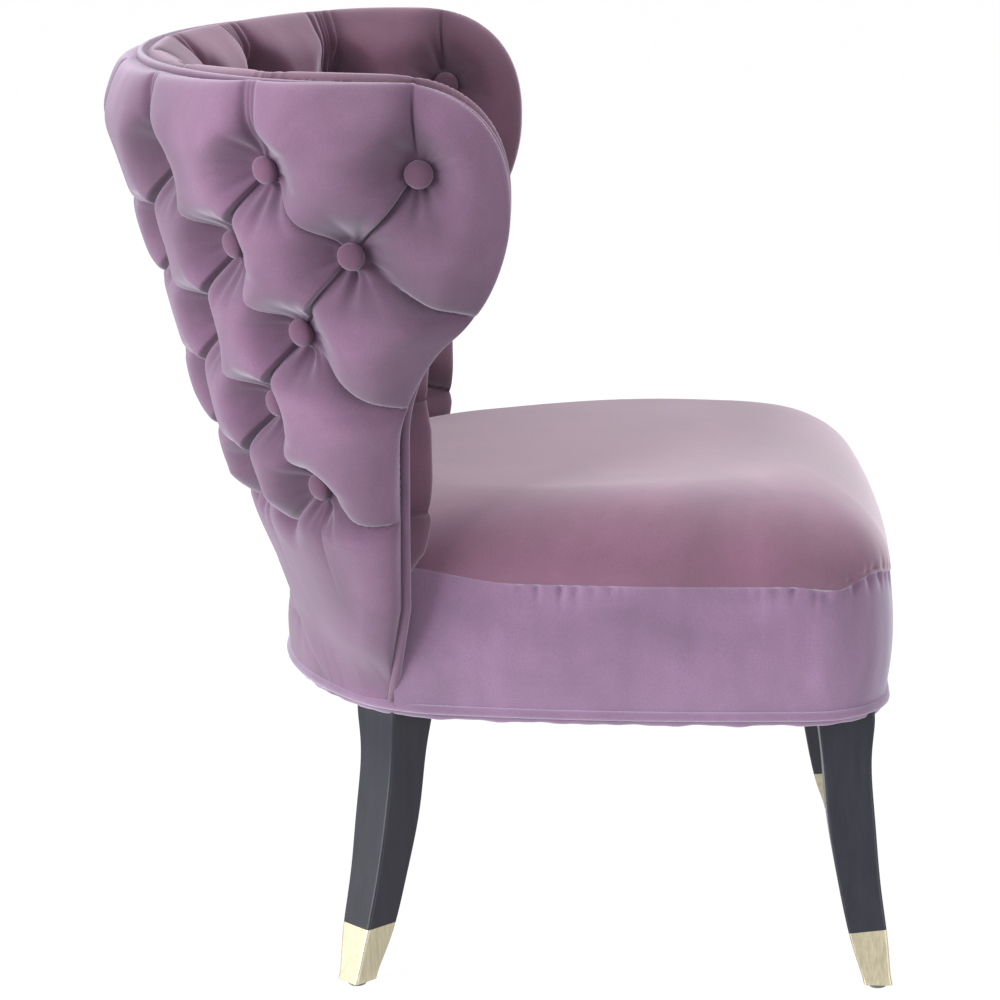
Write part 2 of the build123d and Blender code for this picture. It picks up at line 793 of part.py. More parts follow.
def rear_rail_inner_y(x):
    """Y of the inner face of the rear rail."""
    inset = REAR_RAIL_SET_IN + REAR_RAIL_DEPTH
    wide = SEAT_SHOULDER_X - inset
    sag = SEAT_REAR_Y - inset - SEAT_SHOULDER_Y + 0.3 * inset
    radius = (wide ** 2 + sag ** 2) / (2 * sag)
    return SEAT_REAR_Y - inset - arc_drop(x, radius)


def corner_blocks():
    """Glue blocks: two at the front, two at the rear."""
    front = FRONT_RAIL_Y + RAIL_THICKNESS + FIT
    far = front + BLOCK_LEG
    x = rail_inner_x(front) + FIT
    points = [(x, front), (x + BLOCK_LEG, front), (rail_inner_x(far) + FIT, far)]
    right_front = prism(points, SEAT_BASE_Z, RAIL_TOP_Z) - bolt_holes()
    near = rear_rail_inner_y(-rail_inner_x(SEAT_SHOULDER_Y)) - 12
    x = rail_inner_x(near) + FIT
    reach = x + 0.55 * BLOCK_LEG
    tip = rear_rail_inner_y(-reach) - 9
    points = [(rail_inner_x(near - BLOCK_LEG) + FIT, near - BLOCK_LEG), (reach, tip), (x, near)]
    right_rear = prism(points, SEAT_BASE_Z, RAIL_TOP_Z)
    return group([right_front, mirrored(right_front), right_rear, mirrored(right_rear)])


# Springs


def spring_ends(x):
    """Y of the front and of the rear end of a spring."""
    inset = CLIP_LENGTH / 2 + 1
    front = FRONT_RAIL_Y + RAIL_THICKNESS - inset
    return front, rear_rail_inner_y(abs(x) + SPRING_HALF_WIDTH) + inset


def spring(x):
    """Flat zigzag wire: cross runs joined by half turns of two quarter arcs."""
    front, rear = spring_ends(x)
    radius = (rear - front) / SPRING_TURNS / 4
    reach = SPRING_HALF_WIDTH - radius
    y = front
    at = x
    side = 1
    edges = []
    for i in range(2 * SPRING_TURNS):
        turn_x = x + side * reach
        edges.append(Line((at, y, 0), (turn_x, y, 0)))
        slant = radius * math.sqrt(0.5)
        centre = (turn_x, y + radius)
        tip = (centre[0] + side * radius, centre[1], 0)
        low = (centre[0] + side * slant, centre[1] - slant, 0)
        high = (centre[0] + side * slant, centre[1] + slant, 0)
        end = (turn_x, y + 2 * radius, 0)
        edges.append(ThreePointArc((turn_x, y, 0), low, tip))
        edges.append(ThreePointArc(tip, high, end))
        at = turn_x
        y += 2 * radius
        side = -side
    edges.append(Line((at, y, 0), (x, y, 0)))
    path = Wire(edges)
    ring = Plane(origin=(x, front, 0), z_dir=(1, 0, 0)) * Circle(SPRING_WIRE_RADIUS)
    return Pos(0, 0, SPRING_Z) * sweep(ring, path)


def spring_places():
    first = -SPRING_SPACING * (SPRING_COUNT - 1) / 2
    return [first + i * SPRING_SPACING for i in range(SPRING_COUNT)]


def clip(x, y):
    """Folded clip over the end run of a spring, standing on the rail."""
    room = SPRING_WIRE_RADIUS + FIT
    half = CLIP_LENGTH / 2
    top = 2 * room + CLIP_METAL
    outer = block(-CLIP_WIDTH / 2, CLIP_WIDTH / 2, -half, half, 0, top)
    tunnel = block(-CLIP_WIDTH, CLIP_WIDTH, -half + CLIP_METAL, half - CLIP_METAL, -1, 2 * room)
    return Pos(x, y, RAIL_TOP_Z) * (outer - tunnel)


def spring_clips():
    clips = []
    for x in spring_places():
        clips += [clip(x - CLIP_WIDTH / 2, spring_ends(x)[0])]
        clips += [clip(x - CLIP_WIDTH / 2, spring_ends(x)[1])]
    return group(clips)


def spring_cover():
    layer = seat_layer(SPRING_COVER_Z, SPRING_COVER_Z + SPRING_COVER_THICKNESS, 34)
    return layer - block(-400, 400, SEAT_SHOULDER_Y, 400, 0, 500)


# Legs


def leg_centre(top, foot, z):
    """Centre of the leg at a height; the leg is straight at the top and sweeps out below."""
    share = ((SEAT_BASE_Z - z) / SEAT_BASE_Z) ** LEG_BEND
    return tuple(a + (b - a) * share for a, b in zip(top, foot))


def leg_side(z):
    """Section side at a height, slimmer towards the foot."""
    if z > LEG_CAP_Z:
        share = ((SEAT_BASE_Z - z) / (SEAT_BASE_Z - LEG_CAP_Z)) ** 1.6
        return LEG_TOP_SIDE + (LEG_CAP_SIDE - LEG_TOP_SIDE) * share
    share = (LEG_CAP_Z - z) / (LEG_CAP_Z - LEG_FOOT_Z)
    return LEG_CAP_SIDE + (LEG_FOOT_SIDE - LEG_CAP_SIDE) * share


def leg_body(top, foot, turn, heights, inset):
    """Sweep-out leg body through level square sections."""
    faces = []
    for z in heights:
        x, y = leg_centre(top, foot, z)
        side = leg_side(z) - 2 * inset
        faces.append(Pos(x, y, z) * Rot(0, 0, turn) * RectangleRounded(side, side, 2.5).face())
    return loft(faces)


def cap_cutter(top, foot, gap):
    """All that lies above the tilted top line of a cap."""
    x, y = leg_centre(top, foot, LEG_CAP_Z)
    lift = 2 * SEAT_BASE_Z
    tilt = CAP_TILT if foot[1] < 0 else 0.0
    return Pos(x, y, LEG_CAP_Z + gap) * Rot(-tilt, 0, 0) * Pos(0, 0, lift / 2) * Box(lift, lift, lift)


def leg_and_cap(top, foot, turn, bolt):
    """A leg with a slimmed tip, and the metal cap round the tip."""
    heights = [SEAT_BASE_Z, 205, 155, 105, 72, LEG_CAP_Z, 28, LEG_FOOT_Z]
    whole = leg_body(top, foot, turn, heights, 0)
    tip = leg_body(top, foot, turn, heights[3:-1] + [LEG_FOOT_Z + CAP_WALL], CAP_WALL)
    room = leg_body(top, foot, turn, heights[3:-1] + [LEG_FOOT_Z + CAP_WALL - 0.1], CAP_WALL - 0.1)
    x, y = leg_centre(top, foot, LEG_FOOT_Z)
    pin = upright_rod(x, y, 0, LEG_FOOT_Z + GLIDE_PIN_LENGTH + FIT, GLIDE_PIN_RADIUS)
    above = cap_cutter(top, foot, 0)
    cap = (whole - room - above - pin).solid()
    hole = upright_rod(*bolt, SEAT_BASE_Z - BOLT_IN_LEG - FIT, SEAT_BASE_Z + 1, BOLT_RADIUS)
    leg = (whole & above) + (tip - cap_cutter(top, foot, 2))
    return (leg - hole - pin).solid(), cap


def glide():
    """Foot glide with its pin."""
    edges = [
        Line((0, 0), (GLIDE_FLAT_RADIUS, 0)),
        ThreePointArc((GLIDE_FLAT_RADIUS, 0), (GLIDE_RADIUS - 0.6, 1.2), (GLIDE_RADIUS, 3)),
        Line((GLIDE_RADIUS, 3), (GLIDE_RADIUS, LEG_FOOT_Z)),
        Line((GLIDE_RADIUS, LEG_FOOT_Z), (0, LEG_FOOT_Z)),
        Line((0, LEG_FOOT_Z), (0, 0)),
    ]
    disc = revolve(Plane.XZ * make_face(edges), Axis.Z)
    thin = GLIDE_PIN_RADIUS - BOLT_FIT
    return disc + upright_rod(0, 0, LEG_FOOT_Z - 1, LEG_FOOT_Z + GLIDE_PIN_LENGTH, thin)


def glides():
    spots = []
    for top, foot in ((FRONT_LEG_TOP, FRONT_LEG_FOOT), (REAR_LEG_TOP, REAR_LEG_FOOT)):
        x, y = leg_centre(top, foot, LEG_FOOT_Z)
        spots += [(-x, y), (x, y)]
    return group([Pos(x, y, 0) * glide() for x, y in spots])


# Trim and small parts


def rear_apron():
    ring = seat_ring(SEAT_BASE_Z + FIT, RAIL_TOP_Z, 0, COVER_THICKNESS)
    wide = APRON_HALF_WIDTH
    return (ring & block(-wide, wide, 20, SEAT_REAR_Y + 50, 0, 500)).solid()


def bottom_welt():
    path = Pos(0, 0, SEAT_BASE_Z - WELT_RADIUS) * seat_outline(-WELT_OVERHANG).face().outer_wire()
    start = path @ 0
    ring = Plane(origin=start, z_dir=path % 0) * Circle(WELT_RADIUS)
    return sweep(ring, path)


def dust_cover():
    top = SEAT_BASE_Z
    cloth = seat_layer(top - DUST_COVER_THICKNESS, top, DUST_COVER_SET_IN)
    cuts = []
    for top_spot, turn in ((FRONT_LEG_TOP, 0.0), (REAR_LEG_TOP, REAR_LEG_TURN)):
        for side in (-1, 1):
            size = LEG_TOP_SIDE + 6 * FIT
            box = Rot(0, 0, turn) * Box(size, size, 20)
            cuts.append(Pos(side * top_spot[0], top_spot[1], top) * box)
    return max((cloth - cuts).solids(), key=lambda solid: solid.volume)


def bracket_frame(column):
    """Plane of a bracket: its X inward from the shell, its Y upward, its Z along the rail."""
    z = RAIL_TOP_Z
    normal = back_plan(column, z)[1]
    inward = Vector(-normal[0], -normal[1], 0)
    foot = Vector(*back_point(column, z, 0))
    return Plane(origin=foot, x_dir=inward, z_dir=inward.cross(Vector(0, 0, 1)))


def back_lean(column):
    """Outward run of the shell for each millimetre of height, near the rails."""
    low = back_point(column, RAIL_TOP_Z, 0)
    high = back_point(column, RAIL_TOP_Z + 100, 0)
    normal = back_plan(column, RAIL_TOP_Z)[1]
    return ((high[0] - low[0]) * normal[0] + (high[1] - low[1]) * normal[1]) / 100


def bracket_holes(column):
    """Places of the two screws of a bracket, in its own plane: start and direction."""
    lean = back_lean(column)
    near = SHELL_HALF * math.hypot(1, lean) + BRACKET_FIT
    up = BRACKET_HEIGHT * 0.65
    slope = math.hypot(1, lean)
    wall = (near - lean * up + BRACKET_METAL * slope, up)
    foot = (near + BRACKET_FOOT - SCREW_HEAD_RADIUS - 0.5, BRACKET_METAL)
    return [(wall, (-1 / slope, -lean / slope)), (foot, (0.0, -1.0))]


def screw_at(column, place, direction, radius, head_radius, fit):
    """A pan-head screw of a bracket: head on the metal, shank into the wood."""
    frame = bracket_frame(column)
    start = frame.from_local_coords((place[0], place[1], 0))
    ahead = frame.from_local_coords((place[0] + direction[0], place[1] + direction[1], 0))
    way = (Vector(ahead) - Vector(start)).normalized()
    shank = Cylinder(radius, SCREW_LENGTH, align=(Align.CENTER, Align.CENTER, Align.MIN))
    head = Cylinder(head_radius, SCREW_HEAD_HEIGHT, align=(Align.CENTER, Align.CENTER, Align.MAX))
    shape = shank + Pos(0, 0, -fit) * head if head_radius else shank
    return Plane(origin=start, z_dir=way).location * shape


def bracket(column):
    """Angle that stands on a rail and leans with the shell."""
    lean = back_lean(column)
    near = SHELL_HALF * math.hypot(1, lean) + BRACKET_FIT
    thick = BRACKET_METAL * math.hypot(1, lean)
    top = BRACKET_HEIGHT
    points = [
        (near, 0),
        (near + BRACKET_FOOT, 0),
        (near + BRACKET_FOOT, BRACKET_METAL),
        (near + thick - lean * BRACKET_METAL, BRACKET_METAL),
        (near + thick - lean * top, top),
        (near - lean * top, top),
    ]
    profile = make_face(Polyline(*points, close=True))
    frame = bracket_frame(column)
    piece = frame.location * Pos(0, 0, -BRACKET_WIDTH / 2) * extrude(profile, BRACKET_WIDTH)
    holes = [screw_at(column, p, d, SCREW_RADIUS, 0, 0) for p, d in bracket_holes(column)]
    return piece - holes


def bracket_screws():
    thin = SCREW_RADIUS - BOLT_FIT
    screws = []
    for column in BRACKET_COLUMNS:
        for place, direction in bracket_holes(column):
            screws.append(screw_at(column, place, direction, thin, SCREW_HEAD_RADIUS, 0.0))
    return group(screws)


def screw_holes():
    """Holes that the bracket screws make in the shell and in the rails."""
    holes = []
    for column in BRACKET_COLUMNS:
        holes += [screw_at(column, p, d, SCREW_RADIUS, 0, 0) for p, d in bracket_holes(column)]
    return holes


def main():
    os.makedirs("parts", exist_ok=True)
    holes = screw_holes()

    save(front_rail(), "front_seat_rail")
    save(side_rail() - holes, "right_seat_rail")
    save(mirrored(side_rail()) - holes, "left_seat_rail")
    save(rear_rail() - holes, "rear_seat_rail")
    save(corner_blocks(), "corner_blocks")

    save(group([spring(x) for x in spring_places()]), "seat_springs")
    save(spring_clips(), "spring_clips")
    save(spring_cover(), "spring_cover")

    top, border, foam = seat_pieces()
    save(top, "seat_top_cover")
    save(border, "seat_border")
    save(foam, "seat_foam")
    save(rear_apron(), "rear_apron")
    save(bottom_welt(), "bottom_welt")
    save(dust_cover(), "dust_cover")

    save(cut_all(back_shell(), holes), "back_shell")
    save(group([bracket(column) for column in BRACKET_COLUMNS]), "back_brackets")
    save(bracket_screws(), "bracket_screws")
    save(outer_pad(), "outer_back_pad")
    save(inner_pad(), "inner_back_pad")
    save(rim_welt(), "rim_welt")
    save(buttons(OUTER_SEAT_DEPTH + FIT, False), "outer_buttons")
    save(buttons(-INNER_SEAT_DEPTH - FIT, True), "inner_buttons")

    front_x, front_y = front_bolt()
    rear_x, rear_y = rear_bolt()
    leg, cap = leg_and_cap(FRONT_LEG_TOP, FRONT_LEG_FOOT, 0.0, (front_x, front_y))
    save(leg, "front_left_leg")
    save(mirrored(leg), "front_right_leg")
    save(cap, "front_left_cap")
    save(mirrored(cap), "front_right_cap")
    leg, cap = leg_and_cap(REAR_LEG_TOP, REAR_LEG_FOOT, REAR_LEG_TURN, (rear_x, rear_y))
    save(leg, "rear_left_leg")
    save(mirrored(leg), "rear_right_leg")
    save(cap, "rear_left_cap")
    save(mirrored(cap), "rear_right_cap")
    save(leg_bolts(), "leg_bolts")
    save(glides(), "glides")


main()
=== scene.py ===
"""Looks of a deep-buttoned wing-back accent chair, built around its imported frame.

Lengths are millimetres, turned into metres where a mesh is made. Z is up and the front of the
chair is -Y. A place on the back is a column, counted along the plan curve from the rear centre
in steps of one button spacing, and a height.
"""

import math
from collections import namedtuple

import bpy
import numpy as np
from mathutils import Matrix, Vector
from mathutils.kdtree import KDTree
from numpy.linalg import norm


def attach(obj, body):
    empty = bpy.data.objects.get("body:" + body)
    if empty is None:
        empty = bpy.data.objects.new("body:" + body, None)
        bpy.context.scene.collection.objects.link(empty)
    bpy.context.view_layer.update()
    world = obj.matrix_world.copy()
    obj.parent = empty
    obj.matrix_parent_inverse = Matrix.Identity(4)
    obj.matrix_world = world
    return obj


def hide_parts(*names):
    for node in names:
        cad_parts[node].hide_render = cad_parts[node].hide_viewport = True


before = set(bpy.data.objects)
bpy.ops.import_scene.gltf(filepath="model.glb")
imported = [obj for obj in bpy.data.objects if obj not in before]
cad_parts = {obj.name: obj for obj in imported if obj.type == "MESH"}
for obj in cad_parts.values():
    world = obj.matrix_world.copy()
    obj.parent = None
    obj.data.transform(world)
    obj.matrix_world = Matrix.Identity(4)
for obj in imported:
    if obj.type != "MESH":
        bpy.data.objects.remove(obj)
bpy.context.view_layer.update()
MM = 0.001

# Back surface: plan ellipses at the base and at the rim
BASE_Z = 242.0
RIM_Z = 797.0
HALF_WIDTH = (245.0, 312.0)
CENTRE_Y = (30.0, 90.0)
REAR_Y = (145.0, 320.0)

# Wing outline in side view
EDGE_BASE_Z = 250.0
EDGE_BASE_Y = 92.0
EDGE_KINK_Z = 345.0
EDGE_TOP_Y = 78.0
OGEE_BASE_Z = 500.0
NOSE_Y = -6.5
NOSE_Z = 700.0
NOSE_FULLNESS = 2.4

# Places of the buttons
COLUMN_PITCH = 124.0
COLUMN_Z = 727.0
ROW_TOP_Z = 731.0
ROW_PITCH = 69.5
ROW_LAST_COLUMN = (3.5, 3.0, 2.5, 2.0, 2.5)
LAST_ROW = len(ROW_LAST_COLUMN) - 1
LAST_ROW_SPREAD = 0.925

# Form of a button: shares of the radius and heights, from the dome to the drawn-in back
BUTTON_RADIUS = 12.0
BUTTON_PROFILE = ((0.0, 6.5), (0.22, 6.4), (0.45, 6.0), (0.66, 5.2), (0.83, 4.0), (0.95, 2.4),
                  (1.0, 0.9), (0.99, -0.6), (0.93, -2.2), (0.82, -3.6))
BUTTON_SIDES = 32
BUTTON_LIFT = 3.0

# Cloth round a button: the height at which it is held, and the funnel down to it
BUTTON_SEAT = 16.0
BUTTON_POCKET = 9.0
FUNNEL_REACH = 42.0
WING_COLUMN = 2.9
WING_FUNNEL_REACH = 62.0
HELD_REACH = 45.0
HELD_SHARE = 0.97

# Puckers round a button: bearing in degrees and share of the depth
PUCKERS = ((66, 0.7), (82, 0.6), (98, 0.6), (115, 0.7), (26, 0.6), (6, 0.5), (-18, 0.6), (152, 0.7),
           (171, 0.8), (190, 0.8), (208, 0.8), (238, 1.2), (252, 1.5), (266, 1.2), (281, 1.5), (297, 1.2))
RIM_PUCKER_STRETCH = 1.5
PUCKER_TURN = 8.0
PUCKER_LENGTH = (30.0, 62.0)
PUCKER_DEPTH = (1.6, 4.6)
PUCKER_START = (8.0, 17.0)
PUCKER_FADE = 0.4
PUCKER_WIDTH = 2.2
PUCKER_SPLAY = 0.06

# Pleats between the buttons
PLEAT_CLEAR = (0.0, 0.6)
OVERLAP = 0.75
LIP_START = -0.4
SAG = 3.4
SAG_REACH = 30.0
CREASE_DEPTH = 6.5
CREASE_WIDTH = 2.8
CREASE_SOFT = 0.8

# Pleats to the front edges, each from a button, as column and row, to a column and height
SIDE_ENDS = (((3.0, 1), (3.86, 606.0)), ((2.5, 2), (3.3, 519.0)), ((2.5, LAST_ROW), (3.16, 421.0)))
SIDE_OVERLAP = 0.7 * OVERLAP
SIDE_SAG = 10.0

# Valleys up to the rim, and the tuck lines beside them as shares of a column
RIM_OVERRUN = 10.0
LAST_VALLEY_SHARP = 0.6
OUTER_VALLEY_REACH = 36.0
INNER_VALLEY_REACH = 48.0
OUTER_TUCK_LINES = (-0.035, 0.035)
INNER_TUCK_LINES = (-0.11, -0.035, 0.035, 0.10)
TUCK_LINE_FAN = (0.5, 1.2)
TUCK_LINE_RISE = 8.0

# Folds below the last row of the outer pad
DIP_DROP = 40.0
FALL_LENGTH = 105.0

# Lattice of the pads: cells between two pleats, and those drawn together at each edge
CELLS = 30
COLUMN_STEP = 0.5 / CELLS
HEIGHT_STEP = ROW_PITCH / CELLS
LATTICE_DRAW = 0.55
DRAW_FADE = (0.2, 0.6)
SPARE_COLUMNS = 9
SPARE_ROWS = 6
EDGE_CELLS = 12
RIM_CELLS = 10
LOW_CELLS = 5

# Both pads
EDGE_HEIGHT = 1.0
EDGE_LIFT = 3.0
RIM_LIFT = ((1.2, 3.2), (2.5, 9.0))
LEAN = 0.17
LEAN_BELOW_LAST_ROW = (70.0, 10.0)
FOOT_TUCK = 2.0
FOOT_TUCK_HEIGHT = 14.0
UNEVEN = 0.03
UNEVEN_SIZE = 190.0

# Outer pad: tables of heights and thicknesses
OUTER_CENTRE = ((250, 30), (290, 27), (314, 25), (361, 27), (409, 33), (445, 45), (513, 52), (615, 50),
                (757, 51))
OUTER_SIDE = ((250, 17), (300, 21), (359, 27), (409, 34), (445, 44), (513, 50), (615, 49), (757, 46))
OUTER_SIDE_COLUMNS = (1.0, 2.0)
OUTER_LIFT_Z = (420.0, 640.0)
FLARE_TOP_Z = 315.0
FOOT_COLUMN = 2.6
FOOT_SEARCH = (70.0, 0.5)
PAD_PROUD = 3.0
PAD_OVER_APRON = (2.0, 26.0)

# Inner pad: tables of heights with thicknesses and lifts
INNER_PEAK = ((372, 30), (413, 40), (453, 45), (780, 46))
INNER_LIFT = ((366, 2), (390, 19), (420, 26), (500, 27), (540, 21), (580, 12))
INNER_LIFT_Z = (540.0, 640.0)

# Plan of the seat
SEAT_FRONT_HALF = 236.0
SEAT_HALF = 244.0
SEAT_FRONT_Y = -341.0
SEAT_FRONT_BOW = 9.0
SEAT_CORNER = 62.0
SEAT_REAR_Y = 195.0
SHOULDER = (222.0, 88.0)
SHOULDER_ROUND = 34.0
CORNER_PULL = 0.56

# Seam of the seat, and the gathers along it: spots give y, reach and strength
SEAM_Z = 363.0
SEAM_DIP = 6.0
SEAM_DIP_Y = -302.0
SEAM_TURN = 28.0
SEAM_CLIMB = 10.0
SEAM_REAR_CLIMB = 12.0
SEAM_REAR_Y = (-20.0, 90.0)
SEAM_PROUD = 1.5
SEAM_RIDGE = 0.7
SEAM_WIDTH = 1.3
CORNER_INSET = 14.0
CORNER_REACH = 75.0
GATHER_SPOTS = ((-62.0, 42.0, 1.0), (-262.0, 24.0, 0.5))
GATHER_CORNERS = 1.2
GATHER_LEAST = 0.12
GATHER_START = (0.0, 8.0)
GATHER_DEPTH = (0.9, 4.2)
GATHER_REACH = (2.2, 4.8)
GATHER_WIDTH = (2.8, 5.2)
GATHER_STEP = (9.0, 21.0)
RIPPLE_LENGTH = (24.0, 70.0)

# Crown of the seat
CROWN_CENTRE_Y = -80.0
CROWN_HEIGHT = 84.0
CROWN_FLAT = 0.56
CROWN_SIDE_FLAT = 0.74
CROWN_DOME = 9.0
CROWN_SWELL = 3.0
CROWN_REAR_DROP = 14.0
CROWN_REAR_DROP_Y = (-180.0, 140.0)
CROWN_GATHER = 0.5

# Border, rear apron and bottom piping
BAND_BULGE = 5.5
BAND_TUCK = 1.5
PANEL_WAVE = 0.5
APRON_HALF = 176.0
APRON_TOP_Z = 312.0
APRON_BULGE = 2.2
APRON_TUCK = 7.0
APRON_TUCK_SHARES = (0.60, 1.0)
WELT_RADIUS = 4.3
WELT_Z = 246.0
WELT_INSET = 0.5
RIM_WELT_PROUD = ((420.0, 3.0), (600.0, 4.5), (750.0, 4.5), (RIM_Z, 1.0))
FLANGE = ((2.0, 2.0), (1.2, 4.0), (1.4, 6.5), (2.6, 8.6), (5.0, 9.6), (9.0, 9.8))
FLANGE_WAVE = 0.8
FLANGE_SIDE_WAVE = 0.6
FLANGE_FREE_DROP = 5.0


# Numbers and meshes


def smooth(value, low, high):
    share = np.clip((value - low) / (high - low), 0.0, 1.0)
    return share * share * (3 - 2 * share)


def eased(value, span, ends):
    """Smooth step over a span from the first end to the last."""
    return ends[0] + (ends[1] - ends[0]) * smooth(value, *span)


def from_table(value, table):
    """Value read off a table of pairs, straight between them."""
    return np.interp(value, *zip(*table))


def unit(vectors):
    return vectors / np.maximum(norm(vectors, axis=-1, keepdims=True), 1e-9)


def heading(path, closed=False):
    """Directions along a path of points."""
    if closed:
        return unit(np.roll(path, -1, axis=0) - np.roll(path, 1, axis=0))
    return unit(np.gradient(path, axis=0))


def add_object(name, data):
    thing = bpy.data.objects.new(name, data)
    bpy.context.scene.collection.objects.link(thing)
    return thing


def make_piece(name, points, faces, material, *stands_for):
    """Velvet piece that rides on the chair and replaces CAD nodes."""
    mesh = bpy.data.meshes.new(name)
    mesh.from_pydata((np.asarray(points) * MM).tolist(), [], [list(map(int, f)) for f in faces])
    mesh.validate()
    mesh.shade_smooth()
    mesh.materials.append(material)
    piece = add_object(name, mesh)
    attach(piece, "root")
    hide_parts(*stands_for)
    return piece


def strip_faces(rows, columns, around=False):
    """Quads of a grid of points; around joins the last column to the first."""
    index = np.arange(rows * columns).reshape(rows, columns)
    if around:
        index = np.concatenate([index, index[:, :1]], axis=1)
    quads = np.stack([index[:-1, :-1], index[:-1, 1:], index[1:, 1:], index[1:, :-1]], axis=-1)
    return quads.reshape(-1, 4)


def welded(points, faces):
    """Points that stay when repeated ones are joined, and the faces that don't collapse."""
    _, first, back = np.unique(np.round(points, 3), axis=0, return_index=True, return_inverse=True)
    faces = back.reshape(-1)[faces]
    return first, [face for face in faces if len(set(face)) == len(face)]


def circles(across, over, sides):
    """Points of unit circles, one for each pair of axes."""
    turn = np.linspace(0, 2 * math.pi, sides, endpoint=False)[:, None]
    return across[..., None, :] * np.cos(turn) + over[..., None, :] * np.sin(turn)


def tube(path, radius, sides=14, closed=False):
    """Points and faces of a round tube along a path of points."""
    ahead = heading(path, closed)
    across = unit(np.cross(ahead, (0.0, 0.0, 1.0)) + 1e-6)
    for i in range(1, len(path)):
        across[i] = across[i - 1] - ahead[i] * np.dot(across[i - 1], ahead[i])
        across[i] /= norm(across[i])
    rings = circles(across, np.cross(ahead, across), sides)
    points = (path[:, None] + radius * rings).reshape(-1, 3)
    return points, strip_faces(len(path) + closed, sides, around=True) % len(points)


# Materials


FULLNESS = "fullness"
WHITE = (1.0, 1.0, 1.0, 1.0)
EVEN = (1.0, 1.0, 1.0)


def grey(value):
    return (value, value, value)


class Graph:
    """Short way to write the nodes of a material or a world."""

    def __init__(self, holder, shader="Principled BSDF"):
        holder.use_nodes = True
        self.holder = holder
        self.tree = holder.node_tree
        self.shader = self.tree.nodes[shader]

    def feed(self, node, **inputs):
        """Set a node's inputs to values or to other nodes' outputs."""
        for key, value in inputs.items():
            target = node.inputs[key.replace("_", " ").title().replace("Ior", "IOR")]
            if isinstance(value, bpy.types.NodeSocket):
                self.tree.links.new(value, target)
            else:
                target.default_value = value

    def add(self, kind, settings=(), **inputs):
        node = self.tree.nodes.new(kind)
        for key, value in settings:
            setattr(node, key, value)
        self.feed(node, **inputs)
        return node

    def noise(self, scale, detail=3.0, rough=0.5, stretch=EVEN, distort=0.0):
        """Noise over the object's own coordinates."""
        place = self.add("ShaderNodeTexCoord").outputs["Object"]
        place = self.add("ShaderNodeMapping", vector=place, scale=stretch).outputs["Vector"]
        return self.add("ShaderNodeTexNoise", vector=place, scale=scale, detail=detail, roughness=rough,
                        distortion=distort).outputs["Fac"]

    def ramp(self, source, *stops):
        """Colours by a value between nought and one."""
        node = self.add("ShaderNodeValToRGB", fac=source)
        ramp = node.color_ramp
        while len(ramp.elements) < len(stops):
            ramp.elements.new(0.5)
        for element, (at, colour) in zip(ramp.elements, stops):
            element.position = at
            element.color = (*colour, 1.0)
        return node.outputs["Color"]

    def times(self, first, second):
        """Product of two colours."""
        settings = (("data_type", "RGBA"), ("blend_type", "MULTIPLY"))
        return self.add("ShaderNodeMix", settings, factor=1.0, a=first, b=second).outputs["Result"]

    def levels(self, source, low, high, span=(0.0, 1.0)):
        """Value within a span mapped to a range."""
        return self.add("ShaderNodeMapRange", value=source, from_min=span[0], from_max=span[1],
                        to_min=low, to_max=high).outputs["Result"]

    def bump(self, source, strength, distance, **after):
        """Relief, on top of another where one is given as normal."""
        node = self.add("ShaderNodeBump", height=source, strength=strength, distance=distance, **after)
        self.set(normal=node.outputs["Normal"])
        return node.outputs["Normal"]

    def set(self, **values):
        self.feed(self.shader, **values)

    def show(self, other, output, most=1.0):
        """Show another shader, up to a share, to camera, glossy and transmission rays."""
        rays = self.add("ShaderNodeLightPath").outputs
        share = rays["Is Camera Ray"]
        for kind in ("Is Glossy Ray", "Is Transmission Ray"):
            either = self.add("ShaderNodeMath", (("operation", "MAXIMUM"),))
            self.tree.links.new(share, either.inputs[0])
            self.tree.links.new(rays[kind], either.inputs[1])
            share = either.outputs[0]
        mix = self.add("ShaderNodeMixShader", fac=self.levels(share, 0.0, most))
        self.tree.links.new(self.shader.outputs[0], mix.inputs[1])
        self.tree.links.new(other.outputs[0], mix.inputs[2])
        self.feed(self.tree.nodes[output], surface=mix.outputs[0])


def new_graph(name):
    return Graph(bpy.data.materials.new(name))


